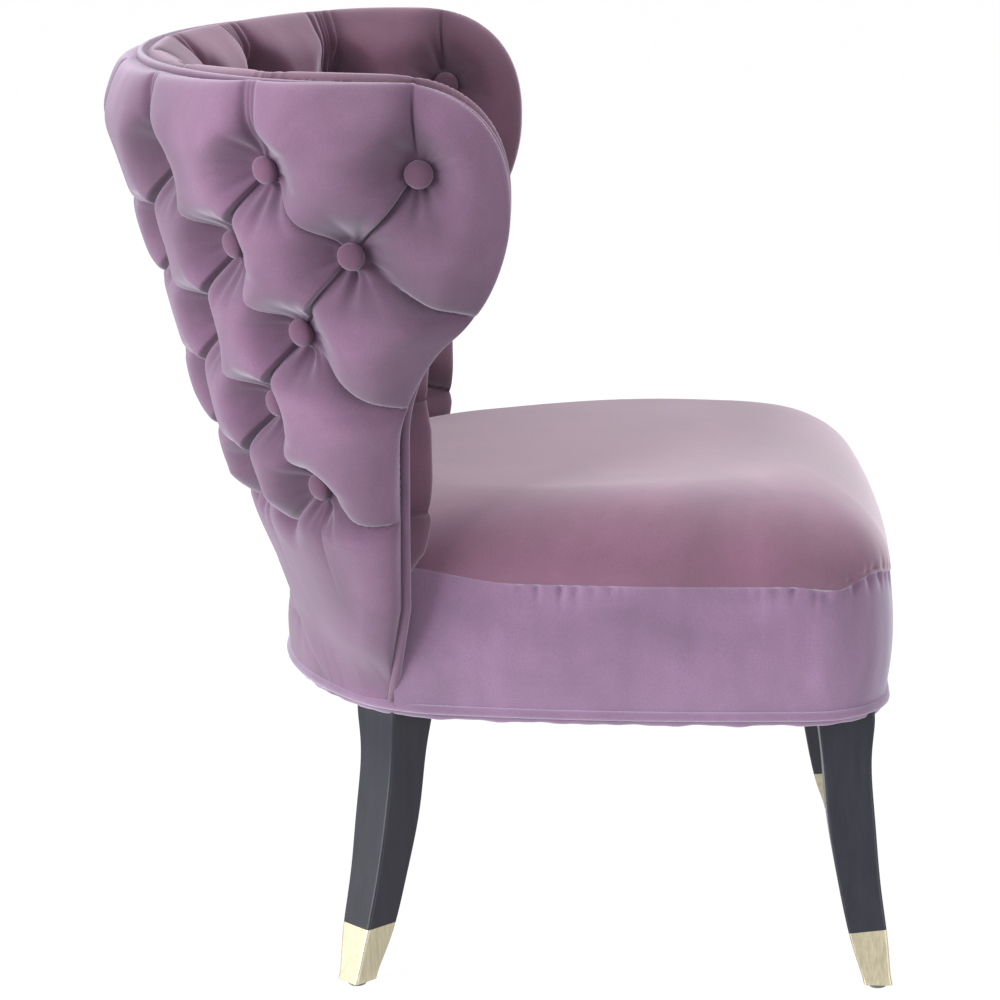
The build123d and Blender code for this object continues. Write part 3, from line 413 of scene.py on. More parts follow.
def velvet(name, tone, glow, gleam=1.0, painted_tuft_shade=False):
    """Velvet: tone is its colour seen straight on, glow and gleam colour and strength of its pile at a slant.

    Tufted velvet carries painted light in its colour: painted shade in the hollows round the buttons and
    along the pleats, painted shade where it faces down and a painted lighter tone where it faces up.
    """
    graph = new_graph(name)
    nap = graph.noise(7.0, detail=4.0, rough=0.55, stretch=(1.0, 1.0, 0.7), distort=0.4)
    colour = graph.ramp(nap, *((at, tuple(share * value for value in tone))
                               for at, share in ((0.30, 0.76), (0.50, 1.0), (0.72, 1.30))))
    pile = graph.noise(900.0, detail=2.0, rough=0.6)
    colour = graph.times(colour, graph.ramp(pile, (0.30, grey(0.86)), (0.70, grey(1.10))))
    smudge = graph.noise(16.0, stretch=(1.6, 0.5, 0.8), distort=0.8)
    colour = graph.times(colour, graph.ramp(smudge, (0.32, (0.90, 0.89, 0.90)), (0.68, (1.10, 1.11, 1.10))))
    if painted_tuft_shade:
        # Painted light by facing: darker where the surface faces down, lighter where it faces up.
        normal = graph.add("ShaderNodeTexCoord").outputs["Normal"]
        upward = graph.add("ShaderNodeSeparateXYZ", vector=normal).outputs["Z"]
        upward = graph.levels(upward, 0.0, 1.0, span=(-0.8, 0.8))
        painted_light_by_facing = graph.ramp(upward, (0.0, (0.62, 0.60, 0.62)), (0.45, grey(1.0)), (1.0, grey(1.12)))
        # Painted shade in the hollows: darker where the pad is drawn in at the buttons and pleats.
        fullness = graph.add("ShaderNodeAttribute", (("attribute_name", FULLNESS),)).outputs["Fac"]
        painted_hollow_shade = graph.ramp(fullness, (0.0, (0.50, 0.44, 0.50)), (0.70, (0.80, 0.77, 0.80)),
                             (1.0, grey(1.06)))
        colour = graph.times(colour, graph.times(painted_light_by_facing, painted_hollow_shade))
    graph.set(base_color=colour, roughness=graph.levels(nap, 0.82, 0.94))
    first = graph.bump(graph.noise(60.0), 0.10, 0.002)
    graph.bump(pile, 0.22, 0.0004, normal=first)
    graph.set(sheen_weight=gleam, sheen_roughness=0.58, sheen_tint=(*glow, 1.0), specular_ior_level=0.15)
    return graph.holder


def lacquer():
    graph = new_graph("lacquer")
    grain = graph.noise(40.0, detail=6.0, rough=0.6, stretch=(3.0, 3.0, 0.25))
    colour = graph.ramp(grain, (0.30, (0.011, 0.011, 0.019)), (0.72, (0.020, 0.020, 0.033)))
    graph.set(base_color=colour, roughness=graph.levels(graph.noise(14.0), 0.38, 0.50))
    graph.bump(grain, 0.08, 0.0006)
    graph.set(coat_weight=0.10, coat_roughness=0.30, specular_ior_level=0.32)
    return graph.holder


def brass():
    graph = new_graph("brass")
    lines = graph.noise(420.0, rough=0.6, stretch=(1.0, 1.0, 0.03))
    colour = graph.ramp(lines, (0.30, (0.385, 0.345, 0.246)), (0.70, (0.495, 0.450, 0.333)))
    graph.set(base_color=colour, roughness=graph.levels(lines, 0.40, 0.56))
    graph.bump(lines, 0.06, 0.0003)
    graph.set(metallic=1.0)
    return graph.holder


def plain(name, dark, light, scale, rough=(0.6, 0.8), stretch=EVEN, metallic=0.0, relief=0.1):
    """Material of two near tones."""
    graph = new_graph(name)
    tone = graph.noise(scale, detail=5.0, rough=0.6, stretch=stretch)
    colour = graph.ramp(tone, (0.30, dark), (0.70, light))
    graph.set(base_color=colour, roughness=graph.levels(tone, *rough), metallic=metallic)
    graph.bump(tone, relief, 0.0006)
    return graph.holder


OUTER_GLOW = (0.88, 0.83, 0.97)
VELVET = velvet("velvet", (0.155, 0.078, 0.138), OUTER_GLOW, gleam=0.7)
TUFTED_VELVET = velvet("tufted_velvet", (0.179, 0.095, 0.163), OUTER_GLOW, gleam=0.6, painted_tuft_shade=True)
# Buttons: a darker copy of the velvet, painted shade of the pockets they sit in.
SHADED_BUTTON_VELVET = velvet("button_velvet_painted_shade", (0.115, 0.052, 0.095), (0.80, 0.70, 0.84), gleam=0.55)
# Inner face: a darker copy of the velvet, partly for its nap turned another way and partly painted shade
# inside the wings.
SHADED_INNER_VELVET = velvet("inner_velvet_painted_shade", (0.118, 0.050, 0.082), (0.80, 0.70, 0.82), gleam=0.7, painted_tuft_shade=True)
# Inner buttons: darker still, painted shade of their pockets inside the wings.
SHADED_INNER_BUTTON_VELVET = velvet("inner_button_velvet_painted_shade", (0.095, 0.040, 0.066), (0.78, 0.68, 0.80), gleam=0.55)
SEAT_VELVET = velvet("seat_velvet", (0.166, 0.069, 0.122), (1.0, 0.91, 0.98))
BAND_VELVET = velvet("band_velvet", (0.216, 0.118, 0.210), (0.88, 0.87, 1.0))
LACQUER = lacquer()
BRASS = brass()
FRAME_WOOD = plain("frame_wood", (0.42, 0.28, 0.15), (0.58, 0.42, 0.26), 30.0, stretch=(1.0, 0.1, 1.0))
PLYWOOD = plain("plywood", (0.50, 0.36, 0.20), (0.66, 0.51, 0.33), 24.0, stretch=(1.0, 1.0, 0.1))
STEEL = plain("steel", (0.36, 0.36, 0.37), (0.50, 0.50, 0.51), 80.0, rough=(0.30, 0.45), metallic=1.0)
WOVEN = plain("woven", (0.33, 0.27, 0.17), (0.50, 0.42, 0.29), 260.0, rough=(0.85, 0.95), relief=0.4)
DARK_CLOTH = plain("dark_cloth", (0.020, 0.020, 0.024), (0.045, 0.045, 0.050), 320.0,
                   rough=(0.85, 0.95), relief=0.4)
GLIDE_PLASTIC = plain("glide_plastic", (0.15, 0.15, 0.16), (0.22, 0.22, 0.23), 120.0, rough=(0.45, 0.60))


# Back surface


def rise(z, ends):
    """Value that runs straight from the base to the rim."""
    return ends[0] + (ends[1] - ends[0]) * (z - BASE_Z) / (RIM_Z - BASE_Z)


def depth(z):
    return rise(z, REAR_Y) - rise(z, CENTRE_Y)


TURNS = np.linspace(0.0, math.pi / 2, 721)
TURN_MIDDLES = (TURNS[1:] + TURNS[:-1]) / 2
ARC_RATES = np.hypot(rise(COLUMN_Z, HALF_WIDTH) * np.cos(TURN_MIDDLES),
                     depth(COLUMN_Z) * np.sin(TURN_MIDDLES))
ARCS = np.concatenate([[0.0], np.cumsum(ARC_RATES * TURNS[1])])
SIDE_COLUMN = ARCS[-1] / COLUMN_PITCH


def back_point(column, z):
    """Points of the middle surface of the back."""
    column = np.asarray(column, float)
    z = np.asarray(z, float)
    reach = np.abs(column)
    turn = np.interp(reach * COLUMN_PITCH, ARCS, TURNS)
    ahead = np.maximum(reach - SIDE_COLUMN, 0.0) * COLUMN_PITCH
    x = np.sign(column) * rise(z, HALF_WIDTH) * np.sin(turn)
    y = rise(z, CENTRE_Y) + depth(z) * np.cos(turn) - ahead
    return np.stack(np.broadcast_arrays(x, y, z), axis=-1)


def back_axes(column, z):
    """Outward normal of the back and its direction up the surface."""
    step = 0.01
    along = unit(back_point(column + step, z) - back_point(column - step, z))
    up = unit(back_point(column, z + 1.0) - back_point(column, z - 1.0))
    return unit(np.cross(up, along)), up


def arc_drop(run, radius):
    """How far an arc has left its tangent after a run along it."""
    return radius - np.sqrt(np.maximum(radius ** 2 - run ** 2, 0.0))


def wing_edge(z):
    """Y of the front edge of the wing."""
    half = (NOSE_Z - OGEE_BASE_Z) / 2
    step = (EDGE_TOP_Y - NOSE_Y) / 2
    radius = (half ** 2 + step ** 2) / (2 * step)
    straight = np.interp(z, (EDGE_BASE_Z, EDGE_KINK_Z), (EDGE_BASE_Y, EDGE_TOP_Y))
    lower = EDGE_TOP_Y - arc_drop(np.clip(z - OGEE_BASE_Z, 0, half), radius)
    upper = NOSE_Y + arc_drop(np.clip(NOSE_Z - z, 0, half), radius)
    top = RIM_Z - NOSE_Z
    over = np.clip((z - NOSE_Z) / top, 0, 1)
    nose = NOSE_Y + top * (1 - (1 - over ** NOSE_FULLNESS) ** (1 / NOSE_FULLNESS))
    ogee = np.where(z < OGEE_BASE_Z + half, lower, upper)
    return np.where(z < OGEE_BASE_Z, straight, np.where(z < NOSE_Z, ogee, nose))


def edge_column(z):
    """Column of the front edge of the wing."""
    ahead = rise(z, CENTRE_Y) - wing_edge(z)
    turn = np.arccos(np.clip(-ahead / depth(z), 0.0, 1.0))
    curved = np.interp(turn, TURNS, ARCS) / COLUMN_PITCH
    return np.where(ahead > 0, SIDE_COLUMN + ahead / COLUMN_PITCH, curved)


def edge_heights(below, above):
    """Heights along a front edge, a count of them below its nose and a count up to the rim."""
    turn = np.linspace(0.0, math.pi / 2, above)[1:]
    low = np.linspace(EDGE_BASE_Z, NOSE_Z, below)
    return np.concatenate([low, NOSE_Z + (RIM_Z - NOSE_Z) * np.sin(turn)])


def column_width(z):
    """Length of one column along the back at a height."""
    middle = 1.6
    return norm(back_point(middle + 0.5, z) - back_point(middle - 0.5, z), axis=-1)


RIM_COLUMN = float(edge_column(np.float64(RIM_Z)))


# Seat plan


def lengths(points):
    """Length of a polyline up to each of its points."""
    return np.concatenate([[0.0], np.cumsum(norm(np.diff(points, axis=0), axis=1))])


def resampled(points, count):
    """Points spread evenly along a polyline."""
    steps = lengths(points)
    at = np.linspace(0.0, steps[-1], count)
    return np.stack([np.interp(at, steps, points[:, i]) for i in range(points.shape[1])], axis=-1)


def bow(first, middle, last, count):
    """Points of a shallow curve through three points."""
    share = np.linspace(0.0, 1.0, count)[:, None]
    first, middle, last = (np.asarray(p, float) for p in (first, middle, last))
    control = 2 * middle - (first + last) / 2
    return (1 - share) ** 2 * first + 2 * share * (1 - share) * control + share ** 2 * last


def corner(first, meeting, last, count=30):
    """Points of a near-circular corner, without its ends."""
    share = np.linspace(0.0, 1.0, count)[1:-1, None]
    near = first + (meeting - first) * CORNER_PULL
    far = last + (meeting - last) * CORNER_PULL
    return ((1 - share) ** 3 * first + 3 * share * (1 - share) ** 2 * near
            + 3 * share ** 2 * (1 - share) * far + share ** 3 * last)


def clear_of(points, place, reach):
    """Points that lie further than a reach from a place."""
    return points[norm(points - place, axis=1) > reach]


def seat_half_plan(rear=True):
    """Plan of the left half of the seat, from the front centre to the shoulder or the rear centre."""
    samples = 200
    meeting = (SEAT_FRONT_HALF, SEAT_FRONT_Y)
    front = bow((-SEAT_FRONT_HALF, SEAT_FRONT_Y), (0, SEAT_FRONT_Y - SEAT_FRONT_BOW), meeting, samples)
    side = bow(meeting, (SEAT_HALF, (SEAT_FRONT_Y + SHOULDER[1]) / 2), SHOULDER, samples)
    front = clear_of(front[samples // 2:], meeting, SEAT_CORNER)
    side = clear_of(side, meeting, SEAT_CORNER)
    plan = [front, corner(front[-1], np.array(meeting), side[0]), side]
    if rear:
        sag = SEAT_REAR_Y - SHOULDER[1]
        radius = (SHOULDER[0] ** 2 + sag ** 2) / (2 * sag)
        turn = np.linspace(math.asin(SHOULDER[0] / radius), 0.0, 120)
        back = np.stack([radius * np.sin(turn), SEAT_REAR_Y - radius + radius * np.cos(turn)], axis=-1)
        before = clear_of(side, SHOULDER, SHOULDER_ROUND)
        after = clear_of(back, SHOULDER, SHOULDER_ROUND)
        plan = plan[:2] + [before, corner(before[-1], np.array(SHOULDER), after[0]), after]
    return np.concatenate(plan)


def mirrored(half):
    """Right half of a plan, from the end of the left half back to its start."""
    return (half * (-1, 1))[::-1]


def seat_plan(count):
    """Whole plan of the seat, closed, starting at the front centre."""
    half = seat_half_plan()
    ring = np.concatenate([half, mirrored(half)[1:-1], half[:1]])
    return resampled(ring, count + 1)[:-1]


def outward(plan, closed=False):
    """Directions out of the seat, square to its plan."""
    ahead = heading(plan, closed)
    return np.stack([ahead[:, 1], -ahead[:, 0]], axis=-1)


def moved_out(plan, out, away, z):
    """Points of a plan, moved outwards and set at heights."""
    return np.column_stack([plan + out * np.reshape(away, (-1, 1)), np.broadcast_to(z, len(plan))])


def reach_to_plan(columns):
    """Distance from the foot of the back, along its normal, out to the plan of the seat."""
    centre = (0.0, CROWN_CENTRE_Y)
    plan = seat_plan(900) - centre
    bearing = np.arctan2(plan[:, 0], plan[:, 1])
    order = np.argsort(bearing)
    low = np.full_like(columns, EDGE_BASE_Z)
    foot = back_point(columns, low)[:, :2]
    normal = unit(back_axes(columns, low)[0][:, :2])
    reach = np.zeros_like(columns)
    for step in np.arange(0.0, *FOOT_SEARCH):
        place = foot + normal * step - centre
        limit = np.interp(np.arctan2(place[:, 0], place[:, 1]), bearing[order],
                          norm(plan, axis=1)[order])
        reach = np.where(norm(place, axis=1) < limit, step, reach)
    return reach


# Pleats and buttons


def row_z(row):
    return ROW_TOP_Z - row * ROW_PITCH


def row_columns(row):
    last = ROW_LAST_COLUMN[row]
    return [i - last for i in range(int(round(2 * last)) + 1)]


def spread(z):
    """The columns draw together towards the last row."""
    return np.interp(z, (row_z(LAST_ROW), row_z(LAST_ROW - 1)), (LAST_ROW_SPREAD, 1.0))


def button(column, row):
    """Column and height of a button."""
    return column * float(spread(row_z(row))), row_z(row)


BUTTONS = [button(column, row) for row in range(LAST_ROW + 1) for column in row_columns(row)]


# Fold between two places on the back. floor gives the height left in it along its run, reach is how
# far the cloth slopes down to it, sharp the depth of its crease, over the height that the cloth above
# keeps up to the crease, lip how soon it gets there, and sag how far the fold hangs.
Pleat = namedtuple("Pleat", "floor reach sharp over lip sag start end",
                   defaults=(46.0, 1.0, 0.0, 2.2, 0.0, None, None))

# A diamond pleat is deepest at both buttons, a tuck line is level, and the others fade from a button
DIAMOND = Pleat(lambda share: 0.70 * np.sin(math.pi * share) ** 0.8, over=OVERLAP)
SIDE_PLEAT = Pleat(lambda share: 0.60 * share, reach=34.0, lip=6.0)
VALLEY = Pleat(lambda share: 0.62 * share)
TUCK_LINE = Pleat(lambda share: np.full_like(share, 0.86), reach=4.5, sharp=0.5)
DIP = Pleat(lambda share: 0.60 * share, reach=26.0, sharp=0.8)
FALL = Pleat(lambda share: 0.4 + 0.6 * share ** 0.5, reach=34.0, sharp=0.0)


def diamond_pleats():
    """Pleats between neighbouring rows: those that run outwards going down sag, the others lift."""
    pleats = []
    for row in range(LAST_ROW):
        for column in row_columns(row):
            for below in (column - 0.5, column + 0.5):
                if below in row_columns(row + 1):
                    sag = SAG if abs(below) > abs(column) else -0.5 * SAG
                    pleats.append(DIAMOND._replace(start=button(column, row), end=button(below, row + 1),
                                                   sag=sag))
    return pleats


def side_pleats(over, sag):
    """Pleats from the last buttons of the rows to the front edges."""
    pleats = []
    for start, (column, z) in SIDE_ENDS:
        first, high = button(*start)
        for side in (-1, 1):
            pleats.append(SIDE_PLEAT._replace(start=(side * first, high), end=(side * column, z),
                                              over=over, sag=sag))
    return pleats


def rim_pleats(asides, reach):
    """Valleys from the top row up to the rim, with tuck lines beside all but the last of them."""
    low = row_z(0)
    high = RIM_Z + RIM_OVERRUN
    near, far = TUCK_LINE_FAN
    pleats = []
    for column in row_columns(0):
        last = abs(column) == ROW_LAST_COLUMN[0]
        pleats.append(VALLEY._replace(start=(column, low), end=(column, high), reach=reach,
                                      sharp=LAST_VALLEY_SHARP if last else 0.0))
        for aside in () if last else asides:
            start = (column + near * aside, low + TUCK_LINE_RISE)
            end = (column + far * aside, high)
            pleats.append(TUCK_LINE._replace(start=start, end=end))
    return pleats


def pleat_distance(columns, heights, pleat):
    """Distance of places from a pleat, their share along it and how far above it they lie."""
    (c0, z0), (c1, z1) = pleat.start, pleat.end
    wide = column_width((z0 + z1) / 2)
    across = (columns - c0) * wide
    up = heights - z0
    run = ((c1 - c0) * wide, z1 - z0)
    share = np.clip((across * run[0] + up * run[1]) / (run[0] ** 2 + run[1] ** 2), 0.0, 1.0)
    above = (up * run[0] - across * run[1]) / math.hypot(*run) * (1 if run[0] > 0 else -1)
    return np.hypot(across - share * run[0], up - share * run[1]), share, above


def button_distance(columns, heights, place):
    """Distance of places from a button."""
    column, z = place
    return np.hypot((columns - column) * column_width(z), heights - z)


def round_over(share):
    """Quarter circle from nought to one."""
    return np.sqrt(1.0 - (1.0 - np.clip(share, 0.0, 1.0)) ** 2)


def slope_over(share):
    """Parabola from nought to one."""
    return 1.0 - (1.0 - np.clip(share, 0.0, 1.0)) ** 2


def wobble(columns, heights, size, seed):
    """Slow irregular waves over the back, between about -1 and 1."""
    draw = np.random.default_rng(seed)
    total = np.zeros_like(columns)
    for _ in range(5):
        bearing = draw.uniform(0, 2 * math.pi)
        wave = draw.uniform(0.7, 1.4) * 2 * math.pi / size
        start = draw.uniform(0, 2 * math.pi)
        along = columns * COLUMN_PITCH * math.cos(bearing) + heights * math.sin(bearing)
        total += np.sin(along * wave + start)
    return total / 3.0


# Pads of the back


LATTICE_REACH = math.ceil(edge_column(np.float64(NOSE_Z)) / COLUMN_STEP) + SPARE_COLUMNS
LATTICE_ABOVE = math.ceil((RIM_Z - ROW_TOP_Z) / HEIGHT_STEP) + SPARE_ROWS
LATTICE_BELOW = math.ceil((ROW_TOP_Z - EDGE_BASE_Z) / HEIGHT_STEP) + SPARE_ROWS


def squeezed(values, limit, step, cells):
    """Values on a lattice, drawn together over the last cells so that they end on a limit."""
    place = np.round(values / step, 3)
    start = np.floor(limit / step) - cells
    share = np.clip((place - start) / (cells * 1.5), 0.0, 1.0)
    ease = share * (1.5 - 0.5 * share)
    return np.where(place <= start, values, start * step + (limit - start * step) * ease)


def drawn_together(columns, heights):
    """Lattice with its lines drawn together along the pleats; heights go in above the top row of buttons."""
    row = np.clip(-heights / ROW_PITCH, 0.0, LAST_ROW)
    z = ROW_TOP_Z + heights
    draw = LATTICE_DRAW / math.pi * smooth(edge_column(z) / spread(z) - np.abs(columns), *DRAW_FADE)
    aside = np.sin(2 * math.pi * columns) * np.cos(math.pi * row)
    down = np.cos(2 * math.pi * columns) * np.sin(math.pi * row)
    columns = columns + draw / 2 * aside
    heights = heights - draw * ROW_PITCH * down
    return columns, ROW_TOP_Z + squeezed(heights, RIM_Z - ROW_TOP_Z, HEIGHT_STEP, RIM_CELLS)


def edge_distance(base):
    """Distance of points on the back from the rim and the front edges, and the direction to them."""
    z = edge_heights(2200, 800)
    sides = [back_point(side * edge_column(z), z) for side in (-1, 1)]
    rim = np.linspace(-RIM_COLUMN, RIM_COLUMN, 5000)
    outline = np.concatenate(sides + [back_point(rim, np.full_like(rim, RIM_Z))])
    tree = KDTree(len(outline))
    for i, point in enumerate(outline):
        tree.insert(Vector(point), i)
    tree.balance()
    flat = base.reshape(-1, 3)
    nearest = np.array([tree.find(Vector(point))[1] for point in flat])
    gap = (outline[nearest] - flat).reshape(base.shape)
    away = norm(gap, axis=-1)
    return away, gap / np.maximum(away, 0.5)[..., None]


class Pad:
    """One buttoned face of the back; side is 1 outside and -1 inside.

    A kind of pad gives its cover, its pleats, the peak of its pillows and how far its edge lifts. As
    spans and values at their ends it gives its foot, which is its lower edge by columns, and by
    heights how wide the roll round its edge is and how far from the edge it bulges most.
    """

    rim_puckers = ()

    def grid(self):
        """Columns and heights of the points, on a lattice that runs along the pleats."""
        columns = np.arange(-LATTICE_REACH, LATTICE_REACH + 1) * COLUMN_STEP
        heights = np.arange(LATTICE_ABOVE, -LATTICE_BELOW - 1, -1) * HEIGHT_STEP
        flat, high = drawn_together(*np.meshgrid(columns, heights))
        lowest = ROW_TOP_Z - eased(np.abs(flat), *self.foot)
        high = ROW_TOP_Z - squeezed(ROW_TOP_Z - high, lowest, HEIGHT_STEP, LOW_CELLS)
        reach = squeezed(np.abs(flat), edge_column(high) / spread(high), COLUMN_STEP, EDGE_CELLS)
        return np.sign(flat) * reach * spread(high), high

    def faces(self, rows, columns):
        """Triangles split along the pleats."""
        index = np.arange(rows * columns).reshape(rows, columns)
        a, b = index[:-1, :-1], index[:-1, 1:]
        d, c = index[1:, :-1], index[1:, 1:]
        block_row = (np.arange(rows - 1) - LATTICE_ABOVE) // CELLS
        block_column = (np.arange(columns - 1) - LATTICE_REACH) // CELLS
        falling = ((block_row[:, None] + block_column[None, :]) % 2 != 0)[..., None]
        first = np.where(falling, np.stack([a, c, b], -1), np.stack([a, d, b], -1))
        second = np.where(falling, np.stack([a, d, c], -1), np.stack([b, d, c], -1))
        faces = np.concatenate([first.reshape(-1, 3), second.reshape(-1, 3)])
        return faces[:, ::-1] if self.side > 0 else faces

    def shape(self, columns, heights):
        """Height of the pad over the middle surface, before the edges are rolled, and how full it is."""
        full = np.ones_like(columns)
        crease = np.zeros_like(columns)
        for pleat in self.pleats():
            away, share, above = pleat_distance(columns, heights, pleat)
            away = np.hypot(away, CREASE_SOFT) - CREASE_SOFT
            bottom = pleat.floor(share)
            clear = smooth(bottom, *PLEAT_CLEAR)
            upper = pleat.over * smooth(above, LIP_START, pleat.lip)
            side = (round_over(away / pleat.reach) + slope_over(away / pleat.reach)) / 2
            bottom = bottom + upper * clear * (1 - bottom)
            full *= bottom + (1 - bottom) * side
            crease = np.maximum(crease, pleat.sharp * (1 - upper) * clear * np.exp(-away / CREASE_WIDTH))
        for place in BUTTONS:
            reach = FUNNEL_REACH if abs(place[0]) < WING_COLUMN else WING_FUNNEL_REACH
            full *= slope_over((button_distance(columns, heights, place) - BUTTON_POCKET) / reach)
        crown = self.peak(columns, heights) * (1 + UNEVEN * wobble(columns, heights, UNEVEN_SIZE, 3))
        return BUTTON_SEAT + (crown - BUTTON_SEAT) * full - CREASE_DEPTH * crease, full

    def puckers(self, columns, heights):
        """Small folds that run out from the buttons, as depths."""
        total = np.zeros_like(columns)
        draw = np.random.default_rng(11)
        longest = RIM_PUCKER_STRETCH * PUCKER_LENGTH[1]
        for column, z in BUTTONS:
            near = button_distance(columns, heights, (column, z)) < longest
            across = (columns[near] - column) * column_width(z)
            up = heights[near] - z
            at_rim = self.rim_puckers if z == row_z(0) else ()
            for bearing, share in PUCKERS + at_rim:
                turn = math.radians(bearing + draw.uniform(-PUCKER_TURN, PUCKER_TURN))
                length = draw.uniform(*PUCKER_LENGTH)
                if (bearing, share) in at_rim:
                    length *= RIM_PUCKER_STRETCH
                deep = share * draw.uniform(*PUCKER_DEPTH)
                along = across * math.cos(turn) + up * math.sin(turn)
                aside = up * math.cos(turn) - across * math.sin(turn)
                fade = smooth(along, *PUCKER_START)
                fade = fade * (1 - smooth(along, PUCKER_FADE * length, length))
                wide = PUCKER_WIDTH + PUCKER_SPLAY * np.abs(along)
                total[near] += deep * fade * np.exp(-(aside / wide) ** 2)
        return total

    def sag(self, columns, heights):
        """How far the cloth hangs down along the pleats."""
        total = np.zeros_like(columns)
        for pleat in self.pleats():
            if pleat.sag:
                away, share, _ = pleat_distance(columns, heights, pleat)
                total += pleat.sag * 4 * share * (1 - share) * np.exp(-(away / SAG_REACH) ** 2)
        return total

    @staticmethod
    def hang(columns, heights):
        """Where pillows hang over the pleats below them: away from the buttons, which hold the cloth."""
        low, high = (row_z(LAST_ROW) - below for below in LEAN_BELOW_LAST_ROW)
        free = np.ones_like(columns)
        for place in BUTTONS:
            away = button_distance(columns, heights, place)
            free *= 1 - HELD_SHARE * np.exp(-(away / HELD_REACH) ** 2)
        return free * smooth(heights, low, high)

    def points(self, columns, heights):
        """Places of the points, and how full the pad is at each."""
        base = back_point(columns, heights)
        normal, up = back_axes(columns, heights)
        thick, full = self.shape(columns, heights)
        thick = thick - self.puckers(columns, heights)
        away, to_edge = edge_distance(base)
        turn = round_over(away / eased(heights, *self.roll))
        thick = EDGE_HEIGHT + (thick - EDGE_HEIGHT) * turn
        share = away / eased(heights, *self.bulge)
        lift = self.lift(columns, heights) * share * np.exp(1 - share)
        low = heights - eased(np.abs(columns), *self.foot)
        thick = thick - FOOT_TUCK * (1 - round_over(low / FOOT_TUCK_HEIGHT))
        fold = LEAN * np.maximum(thick - BUTTON_SEAT, 0.0) * self.hang(columns, heights)
        fold = (fold + self.sag(columns, heights)) * turn
        moved = base + normal * (self.side * thick)[..., None]
        return moved + to_edge * lift[..., None] - up * fold[..., None], full

    def build(self, name, stands_for):
        columns, heights = self.grid()
        points, full = self.points(columns, heights)
        points = points.reshape(-1, 3)
        first, faces = welded(points, self.faces(*columns.shape))
        piece = make_piece(name, points[first], faces, self.cover, stands_for)
        # How full the pad is at each point; the tufted velvet turns it into painted shade in the hollows.
        attribute = piece.data.attributes.new(FULLNESS, "FLOAT", "POINT")
        attribute.data.foreach_set("value", full.reshape(-1)[first])


class OuterPad(Pad):
    """It ends above the rear apron, and at the bottom edge on both sides."""

    side = 1
    cover = TUFTED_VELVET
    foot = ((0.95, 1.66), (303.0, 246.0))
    roll = ((330.0, 560.0), (22.0, 46.0))
    bulge = ((470.0, 640.0), (3.5, 3.5))

    def pleats(self):
        found = diamond_pleats() + side_pleats(SIDE_OVERLAP, SIDE_SAG)
        found += rim_pleats(OUTER_TUCK_LINES, OUTER_VALLEY_REACH)
        low = [button(column, LAST_ROW) for column in row_columns(LAST_ROW)]
        for left, right in zip(low[:-1], low[1:]):
            dip = ((left[0] + right[0]) / 2, left[1] - DIP_DROP)
            found += [DIP._replace(start=start, end=dip) for start in (left, right)]
        return found + [FALL._replace(start=(column, z), end=(column, z - FALL_LENGTH)) for column, z in low]

    def peak(self, columns, heights):
        """Thickness by height, flared at the foot to the plan of the seat and laid over the rear apron."""
        reach = np.abs(columns)
        centre = from_table(heights, OUTER_CENTRE)
        side = from_table(heights, OUTER_SIDE)
        full = centre + (side - centre) * smooth(reach, *OUTER_SIDE_COLUMNS)
        spots = np.linspace(0.0, FOOT_COLUMN, 60)
        foot = np.interp(reach, spots, reach_to_plan(spots))
        thick = foot + (full - foot) * smooth(heights, EDGE_BASE_Z, FLARE_TOP_Z)
        base = np.full_like(columns, EDGE_BASE_Z)
        out = unit(back_axes(columns, base)[0][..., :2])
        moved = (back_point(columns, heights) - back_point(columns, base))[..., :2]
        over_panel = foot - np.sum(moved * out, axis=-1) + PAD_PROUD
        near = 1 - smooth(heights - eased(reach, *self.foot), *PAD_OVER_APRON)
        return thick + np.maximum(over_panel - thick, 0.0) * near

    def lift(self, columns, heights):
        return EDGE_LIFT + eased(np.abs(columns), *RIM_LIFT) * smooth(heights, *OUTER_LIFT_Z)


class InnerPad(Pad):
    """It ends behind the seat, lower at the wings."""

    side = -1
    cover = SHADED_INNER_VELVET
    foot = ((1.9, 2.3), (372.0, 338.0))
    roll = ((330.0, 560.0), (44.0, 44.0))
    bulge = ((470.0, 640.0), (9.0, 3.5))
    rim_puckers = ((82, 1.0), (98, 1.1), (112, 0.9))

    def pleats(self):
        found = diamond_pleats() + side_pleats(0.0, 0.0)
        return found + rim_pleats(INNER_TUCK_LINES, INNER_VALLEY_REACH)

    def peak(self, columns, heights):
        return from_table(heights, INNER_PEAK)

    def lift(self, columns, heights):
        low = from_table(heights, INNER_LIFT)
        high = EDGE_LIFT + eased(np.abs(columns), *RIM_LIFT)
        return low + (high - low) * smooth(heights, *INNER_LIFT_Z)


def button_piece(name, side, cover, stands_for):
    """Covered buttons of one face, as domes with a drawn-in back."""
    (_, dome), *rings = BUTTON_PROFILE
    points = []
    faces = []
    for column, z in BUTTONS:
        normal, up = back_axes(np.float64(column), np.float64(z))
        out = normal * side
        ring = circles(np.cross(up, normal), up, BUTTON_SIDES)
        foot = back_point(column, z) + out * (BUTTON_SEAT + BUTTON_LIFT)
        start = len(points)
        for reach, height in rings:
            points += list(foot + ring * reach * BUTTON_RADIUS + out * height)
        top = len(points)
        points.append(foot + out * dome)
        faces += [list(start + quad) for quad in strip_faces(len(rings), BUTTON_SIDES, around=True)]
        faces += [[top, start + (i + 1) % BUTTON_SIDES, start + i] for i in range(BUTTON_SIDES)]
    make_piece(name, points, faces, cover, stands_for)


